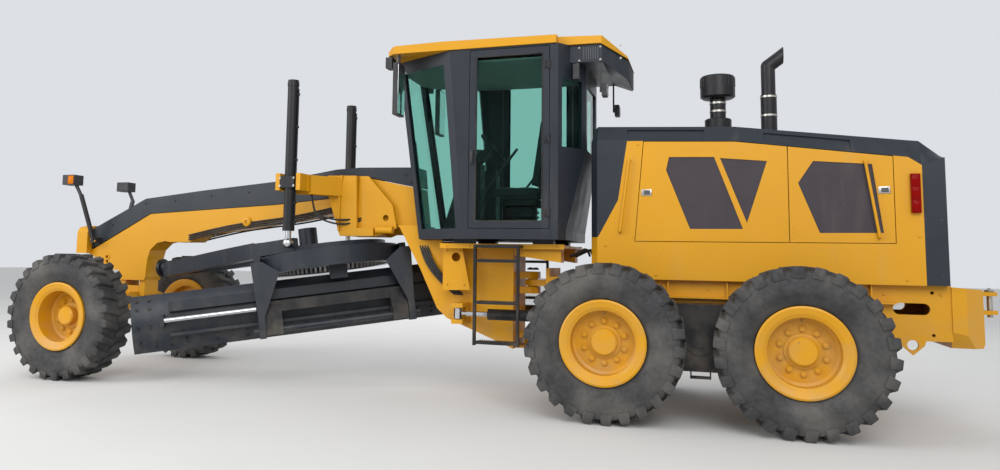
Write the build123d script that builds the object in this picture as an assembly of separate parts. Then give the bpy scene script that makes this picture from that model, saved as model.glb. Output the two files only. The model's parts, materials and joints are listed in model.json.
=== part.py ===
"""Motor grader with an articulated frame, tandem rear wheels and a circle-mounted blade.

Millimetres, +X to the front, +Y to the machine's left, +Z up. Stations along X are counted from
the rearmost wheel axle. `save` moves every piece so that the origin lies on the ground, below
the middle of the machine's length.
"""
from build123d import *
from math import atan2, cos, degrees, hypot, pi, radians, sin
import os

os.makedirs("parts", exist_ok=True)

# ---------------------------------------------------------------- driving dimensions
REAR_END = -1640.0            # back of the towing eye
FRONT_END = 8050.0            # face of the nose plate
MID_X = (REAR_END + FRONT_END) / 2
REAR_AXLE_X = 0.0
MIDDLE_AXLE_X = 1543.0
FRONT_AXLE_X = 7286.0
TANDEM_X = (REAR_AXLE_X + MIDDLE_AXLE_X) / 2
TYRE_R = 672.0                # 17.5-25 tyre, over the lugs
TYRE_W = 445.0
TYRE_CARCASS_R = 640.0
RIM_R = 361.0                 # over the rim flange
BEAD_R = 318.0
REAR_WHEEL_Y = 1077.5
FRONT_WHEEL_Y = 1093.5
KINGPIN_Y = 800.0
PIVOT_X = 2400.0              # articulation pin
BALL_X, BALL_Z = 6921.0, 1189.0
DRAWBAR_PITCH = 8.6           # degrees, rear end raised
CIRCLE_S = -2184.0            # circle centre behind the drawbar ball
BLADE_YAW = 31.0              # degrees from the machine's length
BLADE_LENGTH = 3660.0
BLADE_SHIFT = 250.0           # blade centre ahead of the circle centre
BLADE_BACK = 186.0            # blade edge behind the circle centre
BLADE_TOP, BLADE_BOTTOM = -367.0, -955.0
ARM_SPACING = 1560.0          # between the circle arms, centre to centre
LIFT_X, LIFT_Y, LIFT_TRUNNION_Z = 4842.0, 727.0, 2125.0
FIT = 0.05                    # running clearance of pins and shafts
GAP = 6.0                     # clearance between moving pieces
TIE_EYE_R = 42.0
LUG_COUNT = 22                # tread lugs on each side of a tyre
TOW_PIN_R = 25.0
TIE_HOLE_R = 20.0

NODES = {}


# ---------------------------------------------------------------- shaping helpers
def box(x0, x1, y0, y1, z0, z1):
    """Box between two opposite corners."""
    return Pos((x0 + x1) / 2, (y0 + y1) / 2, (z0 + z1) / 2) * Box(x1 - x0, y1 - y0, z1 - z0)


def side(points, y0, y1):
    """Body with a side profile of (x, z) points, from y0 to y1."""
    face = Plane.XZ.offset(-y1) * make_face(Polyline(*points, close=True))
    return extrude(face, y1 - y0, dir=(0, -1, 0))


def plan(points, z0, z1):
    """Body with a plan profile of (x, y) points, from z0 to z1."""
    face = Plane.XY.offset(z0) * make_face(Polyline(*points, close=True))
    return extrude(face, z1 - z0, dir=(0, 0, 1))


def section(points, x0, x1):
    """Body with a cross profile of (y, z) points, from x0 to x1."""
    face = Plane.YZ.offset(x0) * make_face(Polyline(*points, close=True))
    return extrude(face, x1 - x0, dir=(1, 0, 0))


def rod(start, end, radius):
    """Round bar between two points."""
    axis = Vector(*end) - Vector(*start)
    return Plane(start, z_dir=axis).location * Pos(0, 0, axis.length / 2) * Cylinder(radius, axis.length)


def bar(start, end, width, height):
    """Rectangular bar between two points, height measured across its run."""
    axis = Vector(*end) - Vector(*start)
    seat = Plane(start, x_dir=(0, 1, 0), z_dir=axis)
    return seat.location * Pos(0, 0, axis.length / 2) * Box(width, height, axis.length)


def turned(profile):
    """Ring or disc turned about Y from a profile of (radius, y) points."""
    return revolve(make_face(Polyline(*profile, close=True)), Axis.Y)


def mirrored(shape):
    """The same piece on the machine's other side."""
    return mirror(shape, Plane.XZ)


def both(shape):
    """A piece and its mirror image, as one node's solids."""
    return Compound(children=[*shape.solids(), *mirrored(shape).solids()])


def save(name, shape):
    """Write one node's STEP file in the part's frame."""
    solids = [Pos(-MID_X, 0, 0) * s for s in shape.solids()]
    out = solids[0] if len(solids) == 1 else Compound(children=solids)
    NODES[name] = out
    export_step(out, f"parts/{name}.step")


def quad_point(corners, u, v):
    """Point at fractions u and v of a four-sided panel."""
    a, b, c, d = [Vector(*p) for p in corners]
    low = a + (b - a) * u
    high = d + (c - d) * u
    return low + (high - low) * v


def panel(corners, u0, u1, v0, v1, outward, inward):
    """Slab on the part of a flat four-sided panel between fractions u and v."""
    pts = [quad_point(corners, u, v) for u, v in ((u0, v0), (u1, v0), (u1, v1), (u0, v1))]
    normal = (pts[1] - pts[0]).cross(pts[3] - pts[0]).normalized()
    start = [p - normal * inward for p in pts]
    face = make_face(Polyline(*start, close=True))
    return extrude(face, inward + outward, dir=normal)


# ---------------------------------------------------------------- wheels
BEAD_Y = TYRE_W / 2 - 55      # inner side of the rim flange
FLANGE_Y = TYRE_W / 2 - 30    # outer side of the rim flange
WELL_R = 271.0                # inside of the rim barrel
LUG_WIDTH = 88.0
LUG_SLANT = 16.0              # degrees


def ring_loft(sections):
    """Many-sided body across the axle through (y, apothem) sections, a flat side facing the ground."""
    faces = []
    for y, apothem in sections:
        seat = Plane((0, y, 0), x_dir=(1, 0, 0), z_dir=(0, 1, 0))
        faces.append(seat.location * RegularPolygon(apothem, LUG_COUNT, major_radius=False))
    return loft(faces, ruled=True)


def tyre():
    """Tyre centred on the origin with its axle along Y, many-sided, with a slanted lug on each side's flats."""
    half = TYRE_W / 2
    body = ring_loft([(-half, 545), (-half + 32, TYRE_CARCASS_R), (half - 32, TYRE_CARCASS_R), (half, 545)])
    for way in (-1, 1):
        body -= ring_loft([(way * (half + 1), 472), (way * BEAD_Y, RIM_R + 4)])
    body -= ring_loft([(-half, BEAD_R + 0.3), (half, BEAD_R + 0.3)])
    lug = Plane.YZ.offset(-LUG_WIDTH / 2) * make_face(Polyline(
        (12, TYRE_CARCASS_R - 8), (12, TYRE_R), (half - 34, TYRE_R), (half - 3, TYRE_CARCASS_R),
        (half - 12, TYRE_CARCASS_R - 40), close=True))
    lug = Rot(0, 0, LUG_SLANT) * extrude(lug, LUG_WIDTH, dir=(1, 0, 0))
    pitch = 360 / LUG_COUNT
    lugs = []
    for i in range(LUG_COUNT):
        lugs.append(Rot(0, 90 + i * pitch, 0) * Rot(0, -90, 0) * lug)
        lugs.append(Rot(0, 90 + i * pitch, 0) * Rot(0, -90, 0) * mirrored(lug))
    return body.fuse(*lugs)


def rim(way, disc_y, hub_y, hub_r, cap_y, shaft_depth):
    """Deep-dish rim centred on the origin; its dish opens to +Y where way is 1."""
    lip = [(RIM_R, BEAD_Y), (RIM_R, FLANGE_Y), (346, FLANGE_Y + 6), (300, FLANGE_Y - 8), (WELL_R, FLANGE_Y - 26)]
    ring = turned([(WELL_R, -FLANGE_Y + 26), (300, -FLANGE_Y + 8), (346, -FLANGE_Y - 6), (RIM_R, -FLANGE_Y),
                   (RIM_R, -BEAD_Y), (BEAD_R, -BEAD_Y), (BEAD_R, BEAD_Y), *lip])
    disc = turned([(0, disc_y - 22), (WELL_R + 1, disc_y - 22), (WELL_R + 1, disc_y + 12), (WELL_R - 24, disc_y),
                   (0, disc_y)])
    hub = turned([(0, hub_y), (139, hub_y), (139, disc_y + 14), (hub_r, disc_y + 18),
                  (hub_r, cap_y - 12), (hub_r - 14, cap_y), (0, cap_y)])
    bore = turned([(0, -300), (SHAFT_R + FIT, -300), (SHAFT_R + FIT, shaft_depth), (0, shaft_depth)])
    wheel = ring + disc + hub - bore
    return wheel if way > 0 else mirrored(wheel)


WHEELS = [  # name, axle X, wheel Y, side
    ("rear_left", REAR_AXLE_X, REAR_WHEEL_Y, 1),
    ("rear_right", REAR_AXLE_X, REAR_WHEEL_Y, -1),
    ("middle_left", MIDDLE_AXLE_X, REAR_WHEEL_Y, 1),
    ("middle_right", MIDDLE_AXLE_X, REAR_WHEEL_Y, -1),
    ("front_left", FRONT_AXLE_X, FRONT_WHEEL_Y, 1),
    ("front_right", FRONT_AXLE_X, FRONT_WHEEL_Y, -1),
]
SHAFT_R = 60.0
REAR_SHAFT_END = 1060.0       # Y of the rear axle shafts' ends
FRONT_SHAFT_END = 1080.0


def wheels():
    """Six wheels, each a tyre and a rim."""
    tread = tyre()
    for name, x, y, way in WHEELS:
        front = name.startswith("front")
        depth = (FRONT_SHAFT_END if front else REAR_SHAFT_END) + GAP - y
        place = Pos(x, way * y, TYRE_R)
        save(f"tyre_{name}", place * tread)
        dish = rim(way, -30.0, -160.0, 100.0, 75.0, depth) if front else rim(way, 35.0, -212.0, 113.0, 97.0, depth)
        save(f"rim_{name}", place * dish)


# ---------------------------------------------------------------- rear frame
RAIL_Y = 470.0
RAIL_T = 30.0
DECK_Z = 1198.0
NECK_X, HEAD_X = 1650.0, 2208.0
CYL_Y, CYL_Z = 500.0, 822.0          # articulation cylinders
CYL_REAR_X, CYL_FRONT_X = 1800.0, 3040.0
PIN_R = 50.0
REAR_PLATE_X = -1191.0
EAR_T, EAR_TOP_Z, EAR_LOW_Z, TOW_PIN_X = 34.0, 1148.0, 956.0, -1590.0
LUGS = [(1130.0, 1240.0, 1020.0), (540.0, 630.0, 478.0)]   # lug centre Z, fork top Z, fork bottom Z


def fork(x0, x1, half, z0, z1, gap, way=1):
    """Two plates, one above and one below a gap, for a vertical pin."""
    mid = (z0 + z1) / 2
    return box(x0, x1, -half, half, z0, mid - gap / 2) + box(x0, x1, -half, half, mid + gap / 2, z1)


def rear_frame():
    """Two side plates joined by decks, bumper, towing ears, neck and articulation lugs."""
    plate = side([(REAR_PLATE_X, 742), (-1000, 742), (-985, 700), (-900, 622), (-815, 700), (-800, 760), (1330, 760),
                  (NECK_X, 860), (NECK_X, DECK_Z), (REAR_PLATE_X, DECK_Z)], RAIL_Y - RAIL_T, RAIL_Y)
    slot = Pos(-900, RAIL_Y, 1002) * Rot(90, 0, 0) * extrude(SlotOverall(274, 96), 45, both=True)
    holes = [Pos(x, RAIL_Y, z) * Rot(90, 0, 0) * Cylinder(r, 90)
             for x, z, r in ((-900, 705, TIE_EYE_R), (-1054, 1139, 14), (-1054, 790, 14))]
    plate = plate - slot - holes[0] - holes[1] - holes[2]
    plate += box(-780, 1640, RAIL_Y - 1, 545, 1038, 1050)
    for x in (-600, 36, 541, 1046, 1500):
        plate += box(x - 6, x + 6, RAIL_Y - 1, 520, 1049, DECK_Z)
    inner = RAIL_Y - RAIL_T
    frame = plate + mirrored(plate)
    frame += box(REAR_PLATE_X, HEAD_X, -inner, inner, 1176, DECK_Z) \
        - box(NECK_X + 24, 2400, 300, 600, 1100, 1300) - box(NECK_X + 24, 2400, -600, -300, 1100, 1300)
    frame += box(REAR_PLATE_X, 1330, -inner, inner, 760, 782)
    for x in (REAR_PLATE_X, -500, 300, 1300, NECK_X - 24):
        frame += box(x, x + 24, -inner, inner, 781 if x < 1500 else 861, 1177)
    for y in (-300, 270):
        frame += side([(NECK_X - 10, 862), (HEAD_X, 500), (HEAD_X, 1180), (NECK_X - 10, 1180)], y, y + 30)
    frame += box(HEAD_X - 36, HEAD_X, -300, 300, 500, 1281)
    frame += side([(NECK_X - 10, 862), (HEAD_X, 500), (HEAD_X, 530), (NECK_X - 10, 892)], -300, 300)
    for z, top, bottom in LUGS:
        lug = plan([(HEAD_X - 4, -150), (HEAD_X - 4, 150), (2400, 95), (2470, 60), (2470, -60), (2400, -95)],
                   z - 32, z + 32)
        frame += lug - Pos(PIVOT_X, 0, z) * Cylinder(PIN_R + FIT, 100)
    bracket = fork(CYL_REAR_X - 60, CYL_REAR_X + 50, 52, CYL_Z - 100, CYL_Z + 100, 112)
    web_y = CYL_Y - 90
    bracket = Pos(0, CYL_Y, 0) * bracket
    bracket += box(CYL_REAR_X - 60, CYL_REAR_X + 50, 290, web_y, CYL_Z - 100, CYL_Z + 100)
    for z0, z1 in ((CYL_Z + 56, CYL_Z + 100), (CYL_Z - 100, CYL_Z - 56)):
        bracket += box(CYL_REAR_X - 60, CYL_REAR_X + 50, web_y - 1, CYL_Y - 51, z0, z1)
    frame += bracket + mirrored(bracket)
    return frame


def rear_bumper():
    """Rear counterweight with drawn-in corners, a bevelled foot and two towing ears."""
    body = plan([(REAR_PLATE_X, -484), (REAR_PLATE_X, 484), (-1300, 470), (-1462, 300), (-1500, 120), (-1500, -120),
                 (-1462, -300), (-1300, -470)], 690, 1216)
    body -= side([(-1600, 1148), (-1450, 1170), (REAR_PLATE_X + 1, 1190), (REAR_PLATE_X + 1, 1300), (-1600, 1300)],
                 -600, 600)
    for way in (-1, 1):
        body -= section([(way * y, z) for y, z in ((485, 822), (485, 680), (395, 680))], -1600, REAR_PLATE_X + 1)
    body -= side([(-1520, 850), (-1440, 680), (-1520, 680)], -600, 600)
    ear = plan([(-1490, -95), (-1490, 95), (-1580, 75), (REAR_END, 34), (REAR_END, -34), (-1580, -75)], 0, EAR_T)
    ears = Pos(0, 0, EAR_TOP_Z - EAR_T) * ear + Pos(0, 0, EAR_LOW_Z) * ear
    return body + (ears - Pos(TOW_PIN_X, 0, 1000) * Cylinder(TOW_PIN_R, 400))


def rear_axle():
    """Axle housing and the two chain cases that carry the rear wheels' axle shafts."""
    tube = rod((TANDEM_X, -561, 640), (TANDEM_X, 561, 640), 118)
    ball = Pos(TANDEM_X, 0, 620) * Sphere(205)
    seats = box(TANDEM_X - 150, TANDEM_X + 150, 300, 420, 640, 760)
    housing = (tube + ball + seats + mirrored(seats)) & box(200, 1400, -562, 562, 300, 760)
    case = tandem_case()
    return housing + case + mirrored(case)


def tandem_case():
    """Left chain case with its shafts, pivot cover and step."""
    r = 215.0
    body = side([(-r, 600), (-80, 430), (1623, 430), (MIDDLE_AXLE_X + r, 600), (MIDDLE_AXLE_X + r, 760),
                 (1400, 900), (960, 1000), (580, 1000), (140, 900), (-r, 760)], 560, 830)
    for x in (REAR_AXLE_X, MIDDLE_AXLE_X):
        body += rod((x, 829, TYRE_R), (x, 846, TYRE_R), 165)
        body += rod((x, 840, TYRE_R), (x, REAR_SHAFT_END, TYRE_R), SHAFT_R)
    body += rod((TANDEM_X, 829, 700), (TANDEM_X, 842, 700), 130)
    body += rod((TANDEM_X, 841, 700), (TANDEM_X, 850, 700), 70)
    for x in (TANDEM_X - 85, TANDEM_X + 73):
        body += box(x, x + 12, 820, 842, 385, 470)
    body += box(TANDEM_X - 85, TANDEM_X + 85, 820, 905, 380, 396)
    return body


def engine_block():
    """Engine, one plain block between the frame's side plates."""
    return box(-450, 850, -330, 330, DECK_Z, 2050)


# ---------------------------------------------------------------- hood
HOOD_Y = 560.0
WALL = 30.0
SILL_Z = 1540.0
DOOR_HINGE_X = 25.0
DOOR_INNER_Y = 534.0
HOOD_FRONT_X, HOOD_REAR_X, POST_X = 1674.0, -1168.0, -1000.0
SEAM_TOP_X, SEAM_LOW_X, SEAM_FOOT_X = 1252.0, 1336.0, 1369.0   # front door's front edge
DOOR_REAR_X = -787.0
NOSE_X = 1395.0                     # where the hood's nose begins
NOSE_PLAN = [(1674, 560), (1742, 450), (1722, 300), (1690, 180)]
NOSE_INNER = [(1656, 530), (1708, 442), (1691, 312), (1660, 190)]
CHEEK = [(1397, 2600), (1397, 2477), (1482, 1925), (1667, 1580), (1800, 1580), (1800, 2600)]
NOSE_EDGE_Z = 2486.0
COVER_SECTIONS = [  # X, top Z, half width of the flat top, edge Z, half width
    (1742.0, 2530.0, 395.0, 2484.0, 450.0),
    (1700.0, 2622.0, 430.0, 2485.0, 520.0),
    (HOOD_FRONT_X, 2635.0, 470.0, NOSE_EDGE_Z, 560.0),
    (453.0, 2591.0, 470.0, 2446.0, 560.0),
    (-902.0, 2424.0, 470.0, 2267.0, 560.0),
    (POST_X, 2413.0, 470.0, 2197.0, 560.0),
    (HOOD_REAR_X, 2272.0, 455.0, 2258.0, 560.0),
]
SHOULDER_RECESSES = [  # rear X, front X, mid Z at the rear, mid Z at the front
    (714.0, 1401.0, 2521.0, 2546.0),
    (-477.0, 216.0, 2388.0, 2477.0),
]
RECESS_H, RECESS_T = 46.0, 12.0
VENTS_FRONT = [[(1022, 2317), (632, 2307), (401, 1659), (847, 1658), (1050, 2197)],
               [(582, 2296), (192, 2260), (367, 1713)]]
VENTS_REAR = [[(-177, 2251), (-631, 2214), (-702, 1630), (-215, 1627), (-54, 2061)]]
VENT_T = 10.0


def edge_z(x):
    """Height of the hood sides' top edge at a station."""
    rows = sorted((s[0], s[3]) for s in COVER_SECTIONS)
    for (x0, z0), (x1, z1) in zip(rows, rows[1:]):
        if x <= x1:
            return z0 + (z1 - z0) * (x - x0) / (x1 - x0)
    return rows[-1][1]


def nose(z0, z1):
    """Wall round the hood's nose, hollowed at the middle so that the cab's corners can swing past."""
    outer = [(NOSE_X, HOOD_Y), *NOSE_PLAN]
    inner = [(NOSE_X - 1, HOOD_Y - WALL), *NOSE_INNER]
    ring = outer + [(x, -y) for x, y in reversed(outer)]
    core = inner + [(x, -y) for x, y in reversed(inner)]
    return plan(ring, z0, z1) - plan(core, z0 - 1, z1 + 1)


def cheek():
    """Side outline of the nose's dark upper part, right across the hood."""
    return side(CHEEK, -HOOD_Y - 10, HOOD_Y + 10)


def hood_panels():
    """Fixed yellow side panels below and beside the doors, the nose's foot and the doors' inner posts."""
    y0, y1 = HOOD_Y - WALL, HOOD_Y
    front = edge_z(SEAM_TOP_X)
    half = side([(POST_X, 1216), (NOSE_X, 1216), (NOSE_X, 2476), (SEAM_TOP_X, front), (SEAM_LOW_X, SILL_Z),
                 (POST_X, SILL_Z)], y0, y1)
    half += side([(POST_X, SILL_Z - 1), (DOOR_REAR_X - GAP, SILL_Z - 1), (DOOR_REAR_X - GAP, edge_z(DOOR_REAR_X - GAP)),
                  (-902, edge_z(-902)), (POST_X, edge_z(POST_X))], y0, y1)
    half += box(POST_X, NOSE_X, RAIL_Y - 20, y1, DECK_Z, 1218)
    half += box(DOOR_HINGE_X - 60, DOOR_HINGE_X + 60, 495, 526, 1217, 2360)
    half += box(DOOR_HINGE_X - 60, DOOR_HINGE_X + 60, 495, y0 + 1, 1217, SILL_Z)
    half += grab_rail((1377, 2294), (1463, 1627))
    return half + mirrored(half) + (nose(DECK_Z, 2476) - cheek())


def grab_rail(top, foot):
    """Round rail standing off the hood's left side between two points of (x, z)."""
    y = HOOD_Y + 34
    rail = FilletPolyline((top[0], HOOD_Y - 2, top[1]), (top[0], y, top[1]), (foot[0], y, foot[1]),
                          (foot[0], HOOD_Y - 2, foot[1]), radius=16)
    return sweep(Plane(rail @ 0, z_dir=rail % 0) * Circle(12), path=rail)


def cover_loft(inset):
    """Solid under the top cover's skin, drawn in by an inset."""
    faces = []
    for x, top, flat, edge, wide in COVER_SECTIONS:
        w, f = wide - inset, flat - inset * 0.6
        pts = [(-w, edge - 1.2 * inset), (w, edge - 1.2 * inset), (w, edge), (f, top - inset), (-f, top - inset),
               (-w, edge)]
        faces.append(Plane.YZ.offset(x) * make_face(Polyline(*(pts if inset else pts[1:2] + pts[3:5] + pts[5:]),
                                                             close=True)))
    return loft(faces, ruled=True)


def hood_cover():
    """Dark top cover with sloping shoulders, shallow shoulder recesses and the nose's dark cheeks."""
    outer = cover_loft(0) - plan([*NOSE_PLAN[1:], *[(x, -y) for x, y in reversed(NOSE_PLAN[1:])], (1800, -450),
                                  (1800, 450)], 2400, 2700)
    hollow = cover_loft(WALL) & box(-2000, 1655, -600, 600, 2000, 2700)
    shell = outer - hollow + (nose(2483, 2700) & outer)
    skin = outer - cover_loft(RECESS_T)
    for x0, x1, z0, z1 in SHOULDER_RECESSES:
        recess = side([(x0, z0 - RECESS_H), (x1, z1 - RECESS_H), (x1, z1 + RECESS_H), (x0, z0 + RECESS_H)], 440, 600) & skin
        shell = shell - recess - mirrored(recess)
    return shell + (nose(1579, 2487) & cheek())


def engine_door(x0, x1, x1_top, vents):
    """Left engine door between its hinge edge and its free edge, with recessed vent panels."""
    low, high = sorted((x0, x1))
    top = [(x, edge_z(x) - GAP) for x in sorted((x0, x1_top, *(k for k in (453.0,) if low < k < high)), reverse=x1 > x0)]
    door = side([(x0, SILL_Z + GAP), (x1, SILL_Z + GAP), *top], DOOR_INNER_Y, HOOD_Y)
    for outline in vents:
        door -= side(outline, HOOD_Y - VENT_T, HOOD_Y + 5)
    return door


def rear_grille():
    """Rear end of the hood: dark corner posts, top and bottom rails and slats."""
    x0, z0 = HOOD_REAR_X, DECK_Z + 2
    post = side([(x0, z0), (POST_X, z0), (POST_X, 2196), (x0, 2257)], HOOD_Y - 90, HOOD_Y)
    grille = post + mirrored(post)
    grille += box(x0, x0 + 40, -HOOD_Y + 80, HOOD_Y - 80, 2090, 2175)
    grille += box(x0, x0 + 40, -HOOD_Y + 80, HOOD_Y - 80, z0, 1300)
    for i in range(12):
        z = 1330 + i * 63
        grille += box(x0 + 8, x0 + 34, -HOOD_Y + 80, HOOD_Y - 80, z, z + 22)
    return grille


PRE_CLEANER_X, EXHAUST_X = 586.0, 129.0


def stacks():
    """Round air pre-cleaner on its neck, and the exhaust stack with its mitred rearward elbow."""
    profile = [(0, 2540), (123, 2540), (123, 2736), (112, 2745), (73, 2752), (73, 2935), (140, 2947), (161, 2962),
               (161, 3150), (148, 3165), (60, 3178), (0, 3180)]
    cleaner = Pos(PRE_CLEANER_X, 0, 0) * revolve(Plane.XZ * make_face(Polyline(*profile, close=True)), Axis.Z)
    knee, mouth = (EXHAUST_X, 0, 3240), (-60, 0, 3381)
    pipe = rod((EXHAUST_X, 0, 2490), knee, 64) + Pos(*knee) * Sphere(64) + rod(knee, mouth, 64)
    pipe += rod((EXHAUST_X, 0, 2490), (EXHAUST_X, 0, 2960), 72)
    pipe -= rod((40, 0, 3306), (-80, 0, 3396), 57)
    pipe -= box(-300, -8, -100, 100, 3100, 3500)
    cover = cover_loft(0)
    return Compound(children=[*(cleaner - cover).solids(), *(pipe - cover).solids()])


def tail_lamps():
    """Upright tail lamps on the hood's rear corners."""
    lamp = box(-978, -908, HOOD_Y, HOOD_Y + 36, 1797, 2123)
    return both(lamp)


# ---------------------------------------------------------------- front frame
BEAM_Y = 150.0
LEG_Y = 275.0
LEG_T = 30.0
PLATFORM_Z = 1500.0
PLATFORM_Y = 560.0
LEG_FRONT = [(3800, 1700), (3769, 1670), (3536, 1255), (3342, 851), (3232, 753), (2621, 512), (2540, 478)]


TIE_HOLES_X, TIE_HOLES_Z = 7660.0, (1312.0, 1257.0)


def gooseneck():
    """Bent beam from the leg to the nose, with the nose block, side bosses and the axle's pivot lugs."""
    beam = side([(7960, 1360), (7960, 1386), (7900, 1390), (7047, 1834), (5339, 1932), (4296, 2030), (4200, 2220),
                 (3622, 2100), (3574, 1700), (3798, 1700), (4100, 1780),
                 (4558, 1839), (5318, 1739), (5746, 1670), (6338, 1597), (6472, 1503), (6753, 1500), (6825, 1511),
                 (6938, 1487), (7034, 1402), (7070, 1282), (7085, 1079), (7105, 1040), (7468, 1040), (7480, 1157),
                 (7577, 1160), (7912, 1340)], -BEAM_Y, BEAM_Y)
    nose_block = section([(-243, 1353), (243, 1353), (243, 1610), (205, 1668), (120, 1690), (-120, 1690),
                          (-205, 1668), (-243, 1610)], 7895, FRONT_END)
    boss = rod((5700, -BEAM_Y - 22, 1740), (5700, BEAM_Y + 22, 1740), 55)
    frame = beam + nose_block + boss
    for x in (7105, 7388):
        frame += side([(x, 1041), (x, 880), (x + 12, 850), (x + 68, 850), (x + 80, 880), (x + 80, 1041)],
                      -BEAM_Y + 30, BEAM_Y - 30)
    frame += rod((7184, 0, 912), (7389, 0, 912), 40)
    for z in TIE_HOLES_Z:
        frame -= rod((TIE_HOLES_X, -200, z), (TIE_HOLES_X, 200, z), TIE_HOLE_R)
    return frame


def leg_shell():
    """Boxed leg from the gooseneck down to the articulation head."""
    leg = side([*LEG_FRONT, (2540, 1476), (3300, 1476), (3300, 1545), (3528, 1545), (3574, 1700)], LEG_Y - LEG_T, LEG_Y)
    inner = LEG_Y - LEG_T + 1
    shell = leg + mirrored(leg)
    shell += side([*LEG_FRONT, (2540, 502), (2612, 536), (3215, 777), (3319, 870), (3512, 1268), (3740, 1690),
                   (3740, 1700)], -inner, inner)
    shell += box(3574, 3780, -inner, inner, 1670, 1700)
    return shell + box(2540, 2570, -inner, inner, 480, 1476)


def front_frame():
    """Leg, articulation forks with their pins, and the articulation cylinders' brackets."""
    frame = leg_shell()
    for z, top, bottom in LUGS:
        for z0, z1 in ((z + 40, top), (bottom, z - 40)):
            ear = plan([(2560, -160), (2560, 160), (2400, 110), (2335, 60), (2335, -60), (2400, -110)], z0, z1)
            frame += ear
        frame += Pos(PIVOT_X, 0, (top + bottom) / 2) * Cylinder(PIN_R, top - bottom)
    bracket = fork(CYL_FRONT_X - 60, CYL_FRONT_X + 55, 75, CYL_Z - 100, CYL_Z + 100, 116)
    bracket = Pos(0, CYL_Y - 10, 0) * bracket
    bracket += box(CYL_FRONT_X - 60, CYL_FRONT_X + 55, LEG_Y - 1, CYL_Y - 84, CYL_Z - 100, CYL_Z + 100)
    frame += bracket + mirrored(bracket)
    return frame


def cab_platform():
    """Plate below the cab with its edge flanges, rear beams and the pierced side gussets."""
    platform = box(1986, 3226, -PLATFORM_Y, PLATFORM_Y, 1476, PLATFORM_Z)
    half = box(1986, 3226, PLATFORM_Y - 14, PLATFORM_Y, 1460, PLATFORM_Z + 8)
    half += side([(2024, 1478), (2480, 1478), (2480, 1398), (2024, 1335)], 340, 500)
    gusset = side([(3029, 1478), (3226, 1478), (3226, 1042), (2939, 1050)], 435, 450)
    half += gusset - rod((3090, 400, 1374), (3090, 500, 1374), 45)
    half += box(3206, 3226, LEG_Y, 436, 1042, 1478)
    return platform + half + mirrored(half)


def beam_cover():
    """Dark cover over the beam's top and upper sides."""
    return side([(7894, 1406), (7894, 1650), (7127, 2019), (6332, 2107), (5355, 2198), (4588, 2321), (4296, 2337),
                 (3640, 2325), (3618, 2110), (4205, 2230), (4302, 2037), (5340, 1938), (7050, 1840)],
                -BEAM_Y - 6, BEAM_Y + 6)


def front_axle():
    """Arched front axle with its pivot block and the kingpins."""
    x = FRONT_AXLE_X
    arch = section([(-700, 590), (-700, 750), (-250, 900), (250, 900), (700, 750), (700, 590), (300, 700), (-300, 700)],
                   x - 90, x + 90)
    arch += box(x - 90, x + 90, -110, 110, 860, 975)
    arch -= rod((x - 200, 0, 912), (x + 200, 0, 912), 40.5)
    end = box(x - 42, x + 42, 690, KINGPIN_Y, 595, 745) + rod((x, KINGPIN_Y, 595), (x, KINGPIN_Y, 745), 55)
    end += rod((x, KINGPIN_Y, 480), (x, KINGPIN_Y, 860), 30)
    return arch + end + mirrored(end)


def knuckle():
    """Left steering knuckle: fork on the kingpin, steering arm and the wheel's shaft."""
    x = FRONT_AXLE_X
    body = box(x - 45, x + 45, KINGPIN_Y, KINGPIN_Y + 112, 760, 850)
    body += box(x - 45, x + 45, KINGPIN_Y, KINGPIN_Y + 112, 490, 580)
    body += rod((x, KINGPIN_Y, 760), (x, KINGPIN_Y, 850), 45) + rod((x, KINGPIN_Y, 490), (x, KINGPIN_Y, 580), 45)
    body += box(x - 45, x + 45, KINGPIN_Y + 75, KINGPIN_Y + 112, 490, 850)
    body += rod((x, KINGPIN_Y + 110, TYRE_R), (x, FRONT_SHAFT_END, TYRE_R), SHAFT_R)
    body += side([(x - 330, 500), (x - 20, 500), (x - 20, 540), (x - 330, 530)], KINGPIN_Y - 30, KINGPIN_Y + 30)
    return body - rod((x, KINGPIN_Y, 480), (x, KINGPIN_Y, 860), 30 + FIT)


def saddle():
    """Blade-lift saddle: two box arms over the beam, ribbed legs, the locking link plates and the lower cross."""
    y0, y1 = BEAM_Y + 40, BEAM_Y + 120
    half = side([(4629, 2242), (4291, 2236), (4271, 1584), (4473, 1584), (4622, 2021)], y0, y1)
    half += side([(4447, 2240), (4467, 2240), (4487, 2085), (4493, 1640), (4473, 1640), (4467, 2085)], y1 - 1, y1 + 22)
    half += plan([(4447, y1 - 1), (4629, y1 - 1), (4879, 576), (4690, 576)], 2015, 2217)
    half += box(4680, 4990, 575, 630, 2040, 2217)
    for x in (4690, 4930):
        half += side([(x, 2040), (x + 50, 2040), (x + 50, 2217), (x, 2217)], 620, LIFT_Y + 60)
    link = side([(4280, 2235), (4173, 2234), (3885, 1917), (3833, 1672), (4060, 1584), (4280, 1584)], y0 + 1, y0 + 25)
    half += link - rod((3960, y0, 1780), (3960, y1, 1780), 34)
    half += rod((3863, y0 + 50, 1650), (4056, y0 + 50, 1650), 40) + box(3900, 4020, y0 + 20, y0 + 50, 1620, 1680)
    cross = box(4080, 4420, -y1, y1, 1584, 1670)
    seat = box(4275, 4400, -y0 - 1, -BEAM_Y, 1880, 1980) + box(4275, 4400, BEAM_Y, y0 + 1, 1880, 1980)
    return half + mirrored(half) + cross + seat


def lift_barrel():
    """Left lift cylinder's barrel, with its trunnion block."""
    x, y, z = LIFT_X, LIFT_Y, LIFT_TRUNNION_Z
    barrel = rod((x, y, LIFT_BARREL_LOW), (x, y, 3215), 58) - rod((x, y, LIFT_BARREL_LOW - 1), (x, y, 3190), 36)
    trunnion = box(x - 85, x + 85, y - 70, y + 70, z - 60, z + 60) - rod((x, y, z - 90), (x, y, z + 90), 57)
    return barrel + trunnion


LIFT_BARREL_LOW = 1620.0
LIFT_EYE_Z = 1490.0


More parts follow.
